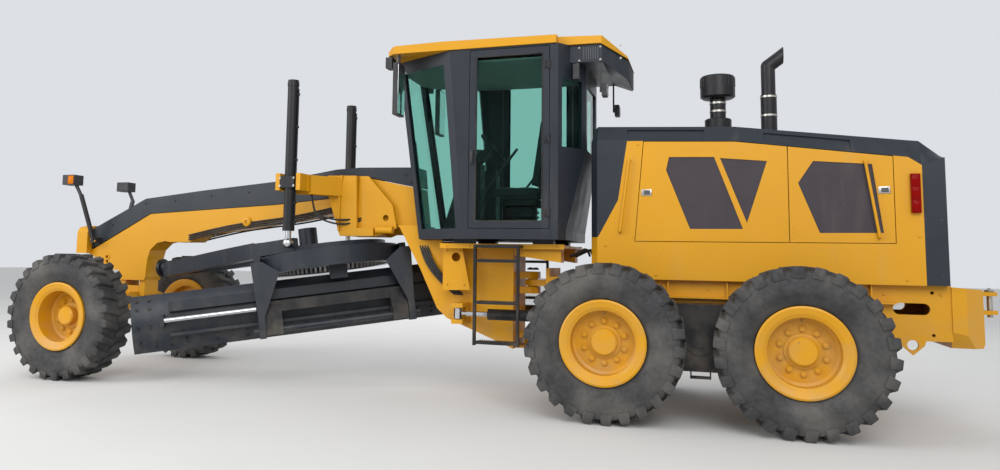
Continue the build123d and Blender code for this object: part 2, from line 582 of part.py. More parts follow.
def lift_rod():
    """Left lift cylinder's rod and its eye."""
    x, y = LIFT_X, LIFT_Y
    return rod((x, y, LIFT_EYE_Z + 20), (x, y, 3150), 32) + Pos(x, y, LIFT_EYE_Z) * Sphere(55)


def articulation_barrel():
    """Left articulation cylinder's barrel and rear eye."""
    tube = rod((CYL_REAR_X + 55, CYL_Y, CYL_Z), (2735, CYL_Y, CYL_Z), 54)
    tube -= rod((1980, CYL_Y, CYL_Z), (2810, CYL_Y, CYL_Z), 28)
    eye = Pos(CYL_REAR_X, CYL_Y, CYL_Z) * Cylinder(48, 100) + box(CYL_REAR_X, CYL_REAR_X + 60, CYL_Y - 30, CYL_Y + 30,
                                                                  CYL_Z - 40, CYL_Z + 40)
    return tube + eye


def articulation_rod():
    """Left articulation cylinder's rod and front eye."""
    x, y, z = CYL_FRONT_X, CYL_Y, CYL_Z
    return rod((2250, y, z), (x - 30, y, z), 25) + Pos(x, y, z) * Cylinder(45, 100)


# ---------------------------------------------------------------- drawbar, circle and blade
DRAWBAR_PLACE = Pos(BALL_X, 0, BALL_Z) * Rot(0, DRAWBAR_PITCH, 0)
CIRCLE_PLACE = DRAWBAR_PLACE * Pos(CIRCLE_S, 0, 0) * Rot(0, 0, BLADE_YAW)
CIRCLE_R = 780.0
SHIFT_N, SHIFT_T, SHIFT_END = 394.0, -650.0, 1745.0
RING_TOP, RING_BOTTOM = -112.0, -300.0


def drawbar():
    """Drawbar: ball, two legs, circle carrier plate and the lift lugs, with the ball at the origin."""
    ball = Sphere(78)
    legs = []
    for way in (-1, 1):
        legs.append(plan([(-60, way * 20), (-60, way * 90), (-1560, way * 600), (-1700, way * 600),
                          (-1700, way * 470), (-300, way * 20)] if way > 0 else
                         [(-60, -20), (-300, -20), (-1700, -470), (-1700, -600), (-1560, -600), (-60, -90)],
                         -110, 50))
    neck = box(-330, -40, -92, 92, -110, 50)
    plate = Pos(CIRCLE_S, 0, -79) * (Cylinder(655, 50) - Cylinder(520, 80))
    cross = box(-1700, -1600, -560, 560, -100, 40) + box(-2050, -1870, -620, 620, -104, -46)
    frame = ball + neck + legs[0] + legs[1] + plate + cross
    for way in (-1, 1):
        y0, y1 = sorted((way * 560, way * (LIFT_Y - 62)))
        frame += box(-2130, -1690, y0, y1, -100, 40)
    motor = Pos(-1960, 0, 70) * Cylinder(105, 240) + Pos(-1960, 0, -60) * Cylinder(180, 80)
    return DRAWBAR_PLACE * (frame + motor)


def circle():
    """Circle ring with its two gusseted blade arms, their lower bar and the tip mount."""
    ring = Pos(0, 0, (RING_TOP + RING_BOTTOM) / 2) * (Cylinder(CIRCLE_R, RING_TOP - RING_BOTTOM)
                                                      - Cylinder(CIRCLE_R - 130, 300))
    out = ring
    half = ARM_SPACING / 2
    for way in (-1, 1):
        d = way * half
        out += section([(-120, RING_TOP - 10), (406, RING_TOP - 10), (576, -480), (576, -960), (472, -960),
                        (472, -575), (440, -500), (356, -330), (-120, RING_BOTTOM - 10)], d - 35, d + 35)
        out += side([(way * 845, -180), (way * 726, -180), (way * 560, -303), (way * (half - 34), -740),
                     (way * (half + 34), -740)], 550, 575)
    out += rod((-half - 90, TIP_N, TIP_T), (half + 90, TIP_N, TIP_T), TIP_PIN_R)
    out += box(-149, 38, 405, 480, -430, RING_TOP) + box(-149, 38, 300, 410, -290, RING_TOP)
    out += box(-149, 38, 479, 690, -250, RING_TOP)
    return CIRCLE_PLACE * out


TIP_N, TIP_T = 516.0, -880.0
TIP_PIN_R = 32.0


def blade_carrier():
    """Tip frame: two brackets turning on the arms' lower bar, with the side-shift cylinder's barrel."""
    low, high = -ARM_SPACING / 2 + 41, ARM_SPACING / 2 - 41
    out = rod((low, SHIFT_N, SHIFT_T), (high + 90, SHIFT_N, SHIFT_T), 50)
    for d0, d1 in ((low, low + 165), (high - 165, high)):
        piece = section([(SHIFT_N - 40, -935), (TIP_N + 55, -935), (TIP_N + 55, -820), (SHIFT_N + 55, -590),
                         (SHIFT_N - 40, -590)], d0, d1)
        piece -= rod((d0 - 10, TIP_N, TIP_T), (d1 + 10, TIP_N, TIP_T), TIP_PIN_R + FIT)
        out += piece
    out -= rod((low + 60, SHIFT_N, SHIFT_T), (high + 100, SHIFT_N, SHIFT_T), 28)
    out += box(low, high, SHIFT_N + 45, SHIFT_N + 70, -700, -590)
    return CIRCLE_PLACE * out


def side_shift_rod():
    """Chrome rod of the side-shift cylinder, fixed to the moldboard at its left end."""
    bar_ = rod((ARM_SPACING / 2 - 670, SHIFT_N, SHIFT_T), (SHIFT_END, SHIFT_N, SHIFT_T), 25)
    return CIRCLE_PLACE * bar_


RAIL_LOW, RAIL_HIGH = -1080.0, 1700.0    # ends of the slide rails along the blade


def moldboard():
    """Curved moldboard with cutting edge, end plates and slide rails."""
    low = BLADE_SHIFT - BLADE_LENGTH / 2
    high = BLADE_SHIFT + BLADE_LENGTH / 2
    top, bottom, back, deep = BLADE_TOP, BLADE_BOTTOM, BLADE_BACK, 98.0
    mid = (top + bottom) / 2
    outer = ThreePointArc((back + 20, bottom), (back + deep, mid), (back + 20, top))
    inner = ThreePointArc((back, top), (back + deep - 20, mid), (back, bottom))
    outline = make_face([outer, Line((back + 20, top), (back, top)), inner, Line((back, bottom), (back + 20, bottom))])
    blade = extrude(Plane.YZ.offset(low) * outline, high - low, dir=(1, 0, 0))
    concave = extrude(Plane.YZ.offset(low) * make_face([
        ThreePointArc((back, bottom), (back + deep - 10, mid), (back, top)), Line((back, top), (back, bottom))]),
        high - low, dir=(1, 0, 0))
    fittings = box(SHIFT_END, SHIFT_END + 40, back + 60, SHIFT_N + 45, SHIFT_T - 60, SHIFT_T + 60)
    fittings += box(RAIL_LOW, RAIL_HIGH, back + 50, SHIFT_N - 46, -565, -463)
    fittings += box(RAIL_LOW, RAIL_HIGH, back + 50, SHIFT_N - 46, -815, -785)
    blade += fittings - concave
    blade += box(low, high, back - 19, back + 4, bottom, bottom + 150)
    return CIRCLE_PLACE * blade


# ---------------------------------------------------------------- cab
CAB_FLOOR_Z, CAB_TOP_Z = 1550.0, 3427.0
CAB_FOOT = [(1803, -380), (2020, -700), (2950, -700), (3508, -400), (3508, 400), (2950, 700), (2020, 700), (1803, 380)]
BROW_Y = 700 - (3800 - 3110) * 300 / 558          # keeps the front side walls flat
CAB_HEAD = [(1803, -380), (2020, -700), (3110, -700), (3800, -BROW_Y), (3800, BROW_Y), (3110, 700), (2020, 700),
            (1803, 380)]
PILLAR = 50.0
DOOR_REAR, DOOR_FRONT, DOOR_LOW, DOOR_TOP = 2105.0, 2893.0, 1655.0, 3404.0
DOOR_BORDER = 57.0


def cab_loft(inset, z0, z1):
    """Cab body between two heights, drawn in by an inset."""
    faces = []
    for z in (z0, z1):
        share = (z - CAB_FLOOR_Z) / (CAB_TOP_Z - CAB_FLOOR_Z)
        pts = [(a[0] + (b[0] - a[0]) * share, a[1] + (b[1] - a[1]) * share) for a, b in zip(CAB_FOOT, CAB_HEAD)]
        face = make_face(Polyline(*pts, close=True))
        if inset:
            face = offset(face, -inset, kind=Kind.INTERSECTION)
        faces.append(Plane.XY.offset(z) * face)
    return loft(faces, ruled=True)


def rear_taper(inset):
    """Wedge that slants the cab's rear end in towards its floor."""
    return side([(1700, 1500), (1960 + inset, 1500), (1960 + inset, 1640), (1803 + inset, 2430), (1700, 2430)],
                -800, 800)


def cab_side(i, j):
    """Corner points of a cab wall between two corners of its plan."""
    a, b = CAB_FOOT[i], CAB_FOOT[j]
    c, d = CAB_HEAD[j], CAB_HEAD[i]
    return [(*a, CAB_FLOOR_Z), (*b, CAB_FLOOR_Z), (*c, CAB_TOP_Z), (*d, CAB_TOP_Z)]


WINDOWS = [  # name, wall corners, u0, u1, v0, v1
    ("windscreen", (3, 4), 0.07, 0.93, 0.05, 0.95),
    ("front_left", (4, 5), 0.09, 0.87, 0.055, 0.93),
    ("front_right", (2, 3), 0.13, 0.91, 0.055, 0.93),
    ("quarter_left", (6, 7), 0.14, 0.86, 0.47, 0.82),
    ("quarter_right", (0, 1), 0.14, 0.86, 0.47, 0.82),
    ("rear", (7, 0), 0.10, 0.90, 0.47, 0.82),
]


def cab_frame():
    """Cab walls and pillars, hollow, with the windows and door openings cut."""
    shell = cab_loft(0, CAB_FLOOR_Z, CAB_TOP_Z) - rear_taper(0)
    shell -= cab_loft(PILLAR, CAB_FLOOR_Z + 50, CAB_TOP_Z + 1) - rear_taper(PILLAR)
    for name, (i, j), u0, u1, v0, v1 in WINDOWS:
        shell -= panel(cab_side(i, j), u0, u1, v0, v1, 60, 120)
    hole = box(DOOR_REAR - GAP, DOOR_FRONT + GAP, 600, 760, DOOR_LOW - GAP, DOOR_TOP + GAP)
    shell = shell - hole - mirrored(hole)
    mounts = box(2100, 2300, 380, 500, PLATFORM_Z, CAB_FLOOR_Z) + box(2900, 3100, 380, 500, PLATFORM_Z, CAB_FLOOR_Z)
    return shell + mounts + mirrored(mounts)


def cab_glass():
    """Fixed panes of the cab."""
    panes = []
    for name, (i, j), u0, u1, v0, v1 in WINDOWS:
        panes += panel(cab_side(i, j), u0, u1, v0, v1, -15, 21).solids()
    return Compound(children=panes)


ROOF_REAR = [(1400, 310), (1625, 590), (2037, 600)]


def cab_roof():
    """Roof cap with its side overhangs and the sloping rear over the air-conditioner."""
    front = [(2037, 720), (3700, 720), (3790, 640), (3834, 420)]
    outline = ROOF_REAR + front
    cap = side([(1400, 3318), (1412, 3345), (1620, 3498), (2037, 3512), (3206, 3531), (3700, 3516), (3834, 3452),
                (3834, CAB_TOP_Z), (1640, CAB_TOP_Z)], -720, 720)
    cap = cap & plan(outline + [(x, -y) for x, y in reversed(outline)], 3200, 3600)
    edge = chamfer_band(front)
    return cap - edge - mirrored(edge)


def chamfer_band(front):
    """Wedge that bevels the roof's left upper edge."""
    return section([(670, 3560), (670, 3536), (721, 3476), (760, 3476), (760, 3560)], front[0][0] - 1, FRONT_END)


def ac_housing():
    """Air-conditioner housing below the roof's rear, with a sloping rear face."""
    body = side([(2040, 3255), (1625, 3255), (1417, 3126), (1417, 3324), (1640, 3425),
                 (2040, CAB_TOP_Z)], -565, 565)
    outline = [(1417, 296), (1625, 565), (2040, 565)]
    body = body & plan(outline + [(x, -y) for x, y in reversed(outline)], 3000, 3500)
    return body - cab_roof() - cab_loft(0, CAB_FLOOR_Z, CAB_TOP_Z)


def cab_door():
    """Left cab door frame with its window cut."""
    b = DOOR_BORDER
    frame = box(DOOR_REAR, DOOR_FRONT, 655, 700, DOOR_LOW, DOOR_TOP)
    frame -= box(DOOR_REAR + b, DOOR_FRONT - b, 600, 760, DOOR_LOW + b, DOOR_TOP - b)
    return frame + box(DOOR_FRONT - 46, DOOR_FRONT - 8, 699, 712, 2270, 2420)


def cab_door_glass():
    """Pane of the left cab door."""
    b = DOOR_BORDER
    return box(DOOR_REAR + b, DOOR_FRONT - b, 674, 680, DOOR_LOW + b, DOOR_TOP - b)


def seat():
    """Driver's seat on its pedestal."""
    out = box(2330, 2700, -180, 180, CAB_FLOOR_Z + 50, 1980)
    out += box(2280, 2780, -250, 250, 1980, 2100)
    out += side([(2280, 2100), (2400, 2100), (2300, 2760), (2190, 2760)], -240, 240)
    return out


def console():
    """Steering column leaning to the driver, its wheel, and the levers' pods."""
    column = side([(3200, CAB_FLOOR_Z + 50), (3380, CAB_FLOOR_Z + 50), (3130, 2370), (2880, 2535), (2840, 2490),
                   (3040, 2310)], -80, 80)
    tilt = Pos(2830, 0, 2530) * Rot(0, -50, 0)
    wheel = tilt * (Torus(180, 15) + Box(30, 362, 14)) + tilt * Pos(0, 0, -25) * Cylinder(40, 70)
    pods = box(2860, 3020, 220, 400, CAB_FLOOR_Z + 50, 2320)
    pods += mirrored(pods)
    return Compound(children=[*(column + wheel).solids(), *pods.solids()])


def mirrors():
    """Two outside mirrors hung from the roof's front corners."""
    head = box(3640, 3690, 560, 760, 2795, 3327)
    arm = rod((3665, 660, 3300), (3665, 660, CAB_TOP_Z), 14)
    return both(head + arm)


def ladders():
    """Three-rung ladders below the cab doors, between the articulation cylinders' swing and the blade's."""
    y0, y1 = 697.0, 741.0
    ladder = box(2379, 2403, y0, y1, 544, 1493) + box(2800, 2824, y0, y1, 544, 1493)
    for z in (1327, 931, 556):
        ladder += box(2402, 2801, y0 - 77, y1, z, z + 26)
    ladder += box(2379, 2824, PLATFORM_Y, y1, 1467, 1493)
    return both(ladder)


def lamps():
    """Front lamps on leaning posts, and the work lamps below the roof."""
    post = bar((7795, 250, 1512), (7830, 455, 2050), 38, 38) + bar((7830, 455, 2040), (7905, 465, 2170), 30, 30)
    lamp = box(7870, 8045, 390, 540, 2165, 2285)
    foot = box(7760, 7830, BEAM_Y + 7, 262, 1480, 1545)
    front = box(3746, 3816, 540, 660, 3301, 3412) + box(3770, 3792, 590, 610, 3411, CAB_TOP_Z)
    rear = box(1580, 1626, 480, 600, 2914, 3032) + box(1634, 1650, 530, 550, 2960, 3255) \
        + box(1600, 1650, 530, 550, 2960, 2990)
    side_lamp = box(1834, 1892, 530, 620, 3083, 3233) + box(1850, 1870, 540, 560, 3232, 3255)
    return both(Compound(children=[*(post + lamp + foot).solids(), *front.solids(), *rear.solids(), *side_lamp.solids()]))


# ---------------------------------------------------------------- write every node
def mirror_pair(name, shape):
    """Write a left piece and its mirror image on the right."""
    save(f"{name}_left", shape)
    save(f"{name}_right", mirrored(shape))


wheels()
save("rear_frame", rear_frame())
save("rear_bumper", rear_bumper())
save("rear_axle", rear_axle())
save("engine_block", engine_block())
save("hood_panels", hood_panels())
save("hood_cover", hood_cover())
mirror_pair("engine_door_front", engine_door(DOOR_HINGE_X + 4, SEAM_LOW_X - GAP, SEAM_TOP_X - GAP, VENTS_FRONT))
mirror_pair("engine_door_rear", engine_door(DOOR_HINGE_X - 4, DOOR_REAR_X, DOOR_REAR_X, VENTS_REAR)
            + grab_rail((-575, 2240), (-665, 1590)))
save("rear_grille", rear_grille())
save("stacks", stacks())
save("tail_lamps", tail_lamps())
save("front_frame", front_frame())
save("gooseneck", gooseneck())
save("cab_platform", cab_platform())
save("beam_cover", beam_cover())
save("front_axle", front_axle())
mirror_pair("knuckle", knuckle())
save("saddle", saddle())
mirror_pair("lift_barrel", lift_barrel())
mirror_pair("lift_rod", lift_rod())
mirror_pair("articulation_barrel", articulation_barrel())
mirror_pair("articulation_rod", articulation_rod())
save("drawbar", drawbar())
save("circle", circle())
save("blade_carrier", blade_carrier())
save("moldboard", moldboard())
save("side_shift_rod", side_shift_rod())
save("cab_frame", cab_frame())
save("cab_glass", cab_glass())
save("cab_roof", cab_roof())
save("ac_housing", ac_housing())
mirror_pair("cab_door", cab_door())
mirror_pair("cab_door_glass", cab_door_glass())
save("seat", seat())
save("console", console())
save("mirrors", mirrors())
save("ladders", ladders())
save("lamps", lamps())
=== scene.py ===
"""Dresses the motor grader: a finish for every part, treaded tyres, bolts, hoses, lamps and glass."""
import json
import logging
from dataclasses import dataclass, field
from enum import Enum
from math import cos, pi, radians, sin

import bmesh
import bpy
from mathutils import Matrix, Vector


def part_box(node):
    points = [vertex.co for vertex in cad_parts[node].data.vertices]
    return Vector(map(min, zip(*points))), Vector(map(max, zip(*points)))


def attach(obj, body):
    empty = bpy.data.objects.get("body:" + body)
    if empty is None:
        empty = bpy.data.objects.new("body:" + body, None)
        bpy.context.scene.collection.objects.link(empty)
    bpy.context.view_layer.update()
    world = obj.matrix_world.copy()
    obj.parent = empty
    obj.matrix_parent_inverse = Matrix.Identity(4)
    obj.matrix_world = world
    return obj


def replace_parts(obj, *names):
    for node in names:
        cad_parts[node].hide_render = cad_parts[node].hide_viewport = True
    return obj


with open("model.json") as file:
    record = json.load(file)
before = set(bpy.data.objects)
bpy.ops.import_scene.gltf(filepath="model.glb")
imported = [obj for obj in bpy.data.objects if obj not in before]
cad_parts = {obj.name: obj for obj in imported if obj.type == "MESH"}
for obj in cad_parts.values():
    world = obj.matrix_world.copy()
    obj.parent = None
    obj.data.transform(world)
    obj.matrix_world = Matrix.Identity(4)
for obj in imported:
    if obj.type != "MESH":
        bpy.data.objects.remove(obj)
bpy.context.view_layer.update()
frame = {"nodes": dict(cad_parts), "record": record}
LOG = logging.getLogger("grader")
Point = tuple[float, float, float]
Outline = tuple[tuple[float, float], ...]
Socket = bpy.types.NodeSocket


# ---------------- finishes
class Pattern:
    """Node tree of one material, built from the shader backwards."""

    def __init__(self, name: str, roughness: float, metallic: float = 0.0) -> None:
        """Start a material.

        Args:
            name: The material's name.
            roughness: Even roughness, until a pattern is linked to it.
            metallic: Even metallic value.
        """
        self.material = bpy.data.materials.new(name)
        self.material.use_nodes = True
        self.nodes = self.material.node_tree.nodes
        self.links = self.material.node_tree.links
        self.shader = self.nodes["Principled BSDF"]
        self.shader.inputs["Roughness"].default_value = roughness
        self.shader.inputs["Metallic"].default_value = metallic
        self.place = self.nodes.new("ShaderNodeTexCoord").outputs["Object"]

    def stretched(self, scale: Point) -> Socket:
        """Scale the object coordinates along each axis.

        Args:
            scale: Factor along X, Y and Z.

        Returns:
            The scaled coordinates.
        """
        node = self.nodes.new("ShaderNodeMapping")
        node.inputs["Scale"].default_value = scale
        self.links.new(self.place, node.inputs["Vector"])
        return node.outputs["Vector"]

    def noise(self, scale: float, detail: float = 4.0, where: Socket | None = None,
              distortion: float = 0.0) -> Socket:
        """Return a noise pattern.

        Args:
            scale: Cells per metre.
            detail: Octaves.
            where: Coordinates, or None for the object's own.
            distortion: Warp of the cells.

        Returns:
            The noise node's value socket.
        """
        node = self.nodes.new("ShaderNodeTexNoise")
        node.inputs["Scale"].default_value = scale
        node.inputs["Detail"].default_value = detail
        node.inputs["Distortion"].default_value = distortion
        self.links.new(where or self.place, node.inputs["Vector"])
        return node.outputs["Fac"]

    def band(self, value: Socket, low: float, high: float, low_out: float = 0.0,
             high_out: float = 1.0) -> Socket:
        """Map a value smoothly from one range to another.

        Args:
            value: The value to map.
            low: Value that becomes low_out.
            high: Value that becomes high_out.
            low_out: Result at the low end.
            high_out: Result at the high end.

        Returns:
            The mapped value.
        """
        node = self.nodes.new("ShaderNodeMapRange")
        node.interpolation_type = "SMOOTHSTEP"
        for slot, number in zip(("From Min", "From Max", "To Min", "To Max"), (low, high, low_out, high_out)):
            node.inputs[slot].default_value = number
        self.links.new(value, node.inputs["Value"])
        return node.outputs["Result"]

    def math(self, kind: str, a: Socket | float, b: Socket | float) -> Socket:
        """Add a maths node.

        Args:
            kind: The node's operation.
            a: First socket or number.
            b: Second socket or number.

        Returns:
            The node's result.
        """
        node = self.nodes.new("ShaderNodeMath")
        node.operation = kind
        for slot, term in zip(node.inputs, (a, b)):
            if isinstance(term, (int, float)):
                slot.default_value = term
            else:
                self.links.new(term, slot)
        return node.outputs["Value"]

    def height(self, low: float, high: float) -> Socket:
        """Make a share that fades with height above the ground.

        Args:
            low: Height in metres up to which the share is 1.
            high: Height in metres at which it reaches 0.

        Returns:
            The share.
        """
        split = self.nodes.new("ShaderNodeSeparateXYZ")
        self.links.new(self.place, split.inputs["Vector"])
        return self.band(split.outputs["Z"], low, high, 1.0, 0.0)

    def blend(self, share: Socket, first: Point | Socket, second: Point | Socket) -> Socket:
        """Mix two colours.

        Args:
            share: Share of the second colour.
            first: First colour or socket.
            second: Second colour or socket.

        Returns:
            The mixed colour.
        """
        node = self.nodes.new("ShaderNodeMix")
        node.data_type = "RGBA"
        self.links.new(share, node.inputs["Factor"])
        for slot, colour in ((node.inputs[6], first), (node.inputs[7], second)):
            if isinstance(colour, tuple):
                slot.default_value = (*colour, 1.0)
            else:
                self.links.new(colour, slot)
        return node.outputs[2]

    def colour(self, value: Point | Socket) -> None:
        """Give the shader its base colour.

        Args:
            value: A colour or a socket.
        """
        if isinstance(value, tuple):
            self.shader.inputs["Base Color"].default_value = (*value, 1.0)
        else:
            self.links.new(value, self.shader.inputs["Base Color"])

    def roughness(self, value: Socket) -> None:
        """Give the shader a roughness pattern."""
        self.links.new(value, self.shader.inputs["Roughness"])

    def bump(self, value: Socket, strength: float, depth: float) -> None:
        """Give the shader a bump pattern.

        Args:
            value: Height pattern.
            strength: Share of the full bump.
            depth: Depth of the pattern in metres.
        """
        node = self.nodes.new("ShaderNodeBump")
        node.inputs["Strength"].default_value = strength
        node.inputs["Distance"].default_value = depth
        self.links.new(value, node.inputs["Height"])
        self.links.new(node.outputs["Normal"], self.shader.inputs["Normal"])


@dataclass(frozen=True)
class Paint:
    """Sprayed enamel with orange peel, dust towards the ground, stains and small scuffs."""

    name: str
    slot: str
    colour: Point
    dust: Point = (0.30, 0.25, 0.19)
    dust_share: float = 0.35
    scuff: Point = (0.16, 0.14, 0.12)
    gloss: float = 0.38
    dust_top: float = 1.3

    def make(self) -> bpy.types.Material:
        """Build the material.

        Returns:
            The material, with its nodes.
        """
        look = Pattern(self.name, self.gloss)
        shade = tuple(c * 0.86 for c in self.colour)
        base = look.blend(look.noise(1.3, 3.0), self.colour, shade)
        streaks = look.noise(3.0, 5.0, look.stretched((2.2, 2.2, 0.35)))
        base = look.blend(look.band(streaks, 0.55, 0.80, 0.0, 0.08), base, self.dust)
        uneven = look.band(look.noise(6.0, 6.0), 0.35, 0.7)
        low = look.math("MULTIPLY", look.height(0.2, self.dust_top), uneven)
        base = look.blend(look.math("MULTIPLY", low, self.dust_share), base, self.dust)
        specks = look.band(look.noise(38.0, 3.0), 0.70, 0.74)
        patches = look.math("MULTIPLY", specks, look.band(look.noise(2.5, 2.0), 0.52, 0.62))
        base = look.blend(look.math("MULTIPLY", patches, 0.7), base, self.scuff)
        look.colour(base)
        look.roughness(look.band(look.noise(5.0, 4.0), 0.3, 0.75, self.gloss - 0.03, self.gloss + 0.09))
        look.bump(look.noise(240.0, 2.0), 0.15, 0.0002)
        look.shader.inputs["Specular IOR Level"].default_value = 0.30
        return look.material


@dataclass(frozen=True)
class Rubber:
    """Tyre and hose rubber, with patches of dust."""

    name: str
    slot: str
    colour: Point
    dust: Point = (0.26, 0.235, 0.20)
    dust_share: float = 0.5

    def make(self) -> bpy.types.Material:
        """Build the material.

        Returns:
            The material, with its nodes.
        """
        look = Pattern(self.name, 0.82)
        worn = look.band(look.noise(7.0, 6.0), 0.35, 0.75)
        base = look.blend(worn, self.colour, tuple(c * 1.7 for c in self.colour))
        dust = look.math("MULTIPLY", look.band(look.noise(2.4, 8.0), 0.40, 0.72), self.dust_share)
        look.colour(look.blend(dust, base, self.dust))
        look.roughness(look.band(look.noise(30.0, 3.0), 0.3, 0.7, 0.68, 0.92))
        look.bump(look.noise(120.0, 5.0), 0.5, 0.0015)
        return look.material


@dataclass(frozen=True)
class Metal:
    """Bare metal: chrome rods, worn steel edges or rough castings."""

    name: str
    slot: str
    colour: Point
    roughness: float
    stain: Point = (0.16, 0.10, 0.06)
    stain_share: float = 0.2
    metallic: float = 1.0
    grain: float = 200.0
    relief: float = 0.0008

    def make(self) -> bpy.types.Material:
        """Build the material.

        Returns:
            The material, with its nodes.
        """
        look = Pattern(self.name, self.roughness, self.metallic)
        spots = look.math("MULTIPLY", look.band(look.noise(11.0, 7.0), 0.5, 0.68), self.stain_share)
        base = look.blend(look.noise(4.0, 4.0), self.colour, tuple(c * 0.8 for c in self.colour))
        look.colour(look.blend(spots, base, self.stain))
        low, high = max(self.roughness - 0.06, 0.04), self.roughness + 0.18
        look.roughness(look.band(look.noise(20.0, 6.0), 0.3, 0.7, low, high))
        look.bump(look.noise(self.grain, 3.0), 0.3, self.relief)
        return look.material


@dataclass(frozen=True)
class Moulding:
    """Moulded plastic with a fine leather grain."""

    name: str
    slot: str
    colour: Point
    roughness: float = 0.55

    def make(self) -> bpy.types.Material:
        """Build the material.

        Returns:
            The material, with its nodes.
        """
        look = Pattern(self.name, self.roughness)
        look.colour(look.blend(look.noise(5.0, 4.0), self.colour, tuple(c * 1.25 for c in self.colour)))
        low, high = self.roughness - 0.07, self.roughness + 0.15
        look.roughness(look.band(look.noise(14.0, 4.0), 0.3, 0.7, low, high))
        look.bump(look.noise(420.0, 2.0), 0.35, 0.0005)
        return look.material


@dataclass(frozen=True)
class Glass:
    """Tinted safety glass with a little dust on it."""

    name: str
    slot: str
    tint: Point
    transmission: float = 1.0

    def make(self) -> bpy.types.Material:
        """Build the material.

        Returns:
            The material, with its nodes.
        """
        look = Pattern(self.name, 0.03)
        look.shader.inputs["Transmission Weight"].default_value = self.transmission
        look.shader.inputs["IOR"].default_value = 1.12
        smear = look.band(look.noise(2.0, 6.0), 0.55, 0.85, 0.0, 0.25)
        look.colour(look.blend(smear, self.tint, tuple(c * 0.85 for c in self.tint)))
        look.roughness(look.band(look.noise(5.0, 5.0), 0.4, 0.8, 0.02, 0.12))
        return look.material


@dataclass(frozen=True)
class Fabric:
    """Woven seat cloth."""

    name: str
    slot: str
    colour: Point

    def make(self) -> bpy.types.Material:
        """Build the material.

        Returns:
            The material, with its nodes.
        """
        look = Pattern(self.name, 0.9)
        look.shader.inputs["Sheen Weight"].default_value = 0.3
        weave = look.noise(900.0, 1.0)
        look.colour(look.blend(weave, self.colour, tuple(c * 1.6 for c in self.colour)))
        look.bump(weave, 0.5, 0.0008)
        return look.material


class Finish(Enum):
    """Every finish on the machine. The first one for each slot dresses the plain solids."""

    YELLOW = Paint("yellow_enamel", "yellow_paint", (0.64, 0.300, 0.006), dust_share=0.28, gloss=0.36)
    SLATE = Paint("slate_enamel", "dark_paint", (0.020, 0.025, 0.033), dust_share=0.12, gloss=0.36)
    MESH = Paint("vent_mesh_enamel", "dark_paint", (0.058, 0.047, 0.055), dust_share=0.1, gloss=0.6)
    BLACK = Paint("black_enamel", "black_paint", (0.012, 0.012, 0.014), dust_share=0.3, gloss=0.4)
    TYRE = Rubber("tyre_rubber_worn", "tyre_rubber", (0.026, 0.026, 0.027), dust_share=0.26)
    PLASTIC = Moulding("black_moulding", "black_plastic", (0.018, 0.018, 0.020))
    GREY_PLASTIC = Moulding("grey_moulding", "black_plastic", (0.06, 0.065, 0.075))
    LINING = Moulding("roof_lining_cloth", "black_plastic", (0.22, 0.23, 0.22), 0.8)
    HOSE = Rubber("hose_rubber", "black_plastic", (0.012, 0.012, 0.013), dust_share=0.12)
    SEAL = Rubber("window_seal_rubber", "black_plastic", (0.008, 0.008, 0.009), dust_share=0.10)
    CHROME = Metal("chromed_rod", "chrome_rod", (0.62, 0.63, 0.65), 0.12, stain_share=0.04, relief=0.00004)
    STEEL = Metal("worn_steel", "chrome_rod", (0.42, 0.41, 0.40), 0.42, stain_share=0.5)
    ZINC = Metal("zinc_fastener", "chrome_rod", (0.50, 0.48, 0.44), 0.35, stain_share=0.25)
    MIRROR = Metal("silvered_glass", "chrome_rod", (0.85, 0.87, 0.88), 0.03, stain_share=0.02)
    IRON = Metal("painted_casting", "cast_iron", (0.030, 0.030, 0.033), 0.6, stain_share=0.35, metallic=0.25,
                 grain=90.0)
    GLASS = Glass("green_tinted_glass", "tinted_glass", (0.50, 0.78, 0.71))
    CLEAR = Glass("lamp_lens", "tinted_glass", (0.92, 0.94, 0.95), transmission=0.8)
    RED = Glass("red_lens_plastic", "red_lens", (0.32, 0.006, 0.005), transmission=0.35)
    AMBER = Glass("amber_lens_plastic", "red_lens", (0.80, 0.22, 0.01), transmission=0.35)
    CLOTH = Fabric("seat_cloth", "seat_fabric", (0.03, 0.032, 0.036))

    def material(self) -> bpy.types.Material:
        """Return the finish's material, built once."""
        found = bpy.data.materials.get(self.value.name)
        return found or self.value.make()


# ---------------- modelling helpers
def lathe(mesh: bmesh.types.BMesh, profile: list[tuple[float, float]], steps: int) -> None:
    """Spin a profile of (radius, y) points round the Y axis.

    Args:
        mesh: The mesh that gains the turned shape.
        profile: Points from one end to the other.
        steps: Number of segments round the axis.
    """
    points = [mesh.verts.new((0.0, y, r)) for r, y in profile]
    edges = [mesh.edges.new(pair) for pair in zip(points, points[1:])]
    bmesh.ops.spin(mesh, geom=points + edges, cent=(0, 0, 0), axis=(0, 1, 0), angle=2 * pi, steps=steps,
                   use_merge=True)
    bmesh.ops.remove_doubles(mesh, verts=mesh.verts, dist=1e-5)


def joined(seeds: list) -> list:
    """Find every vertex that edges join to some seeds.

    Args:
        seeds: Vertices to start from.

    Returns:
        The seeds and all that is joined to them.
    """
    found, stack = set(seeds), list(seeds)
    while stack:
        vert = stack.pop()
        fresh = {edge.other_vert(vert) for edge in vert.link_edges} - found
        found |= fresh
        stack.extend(fresh)
    return list(found)


def around(count: int, radius: float, start: float = 0.0) -> list[tuple[float, float]]:
    """Return points evenly spaced on a circle, from a start given in steps."""
    turns = [2 * pi * (i + start) / count for i in range(count)]
    return [(radius * cos(turn), radius * sin(turn)) for turn in turns]


def spread(low: float, high: float, count: int) -> list[float]:
    """Return evenly spaced values from one end to the other."""
    return [low + (high - low) * i / (count - 1) for i in range(count)]


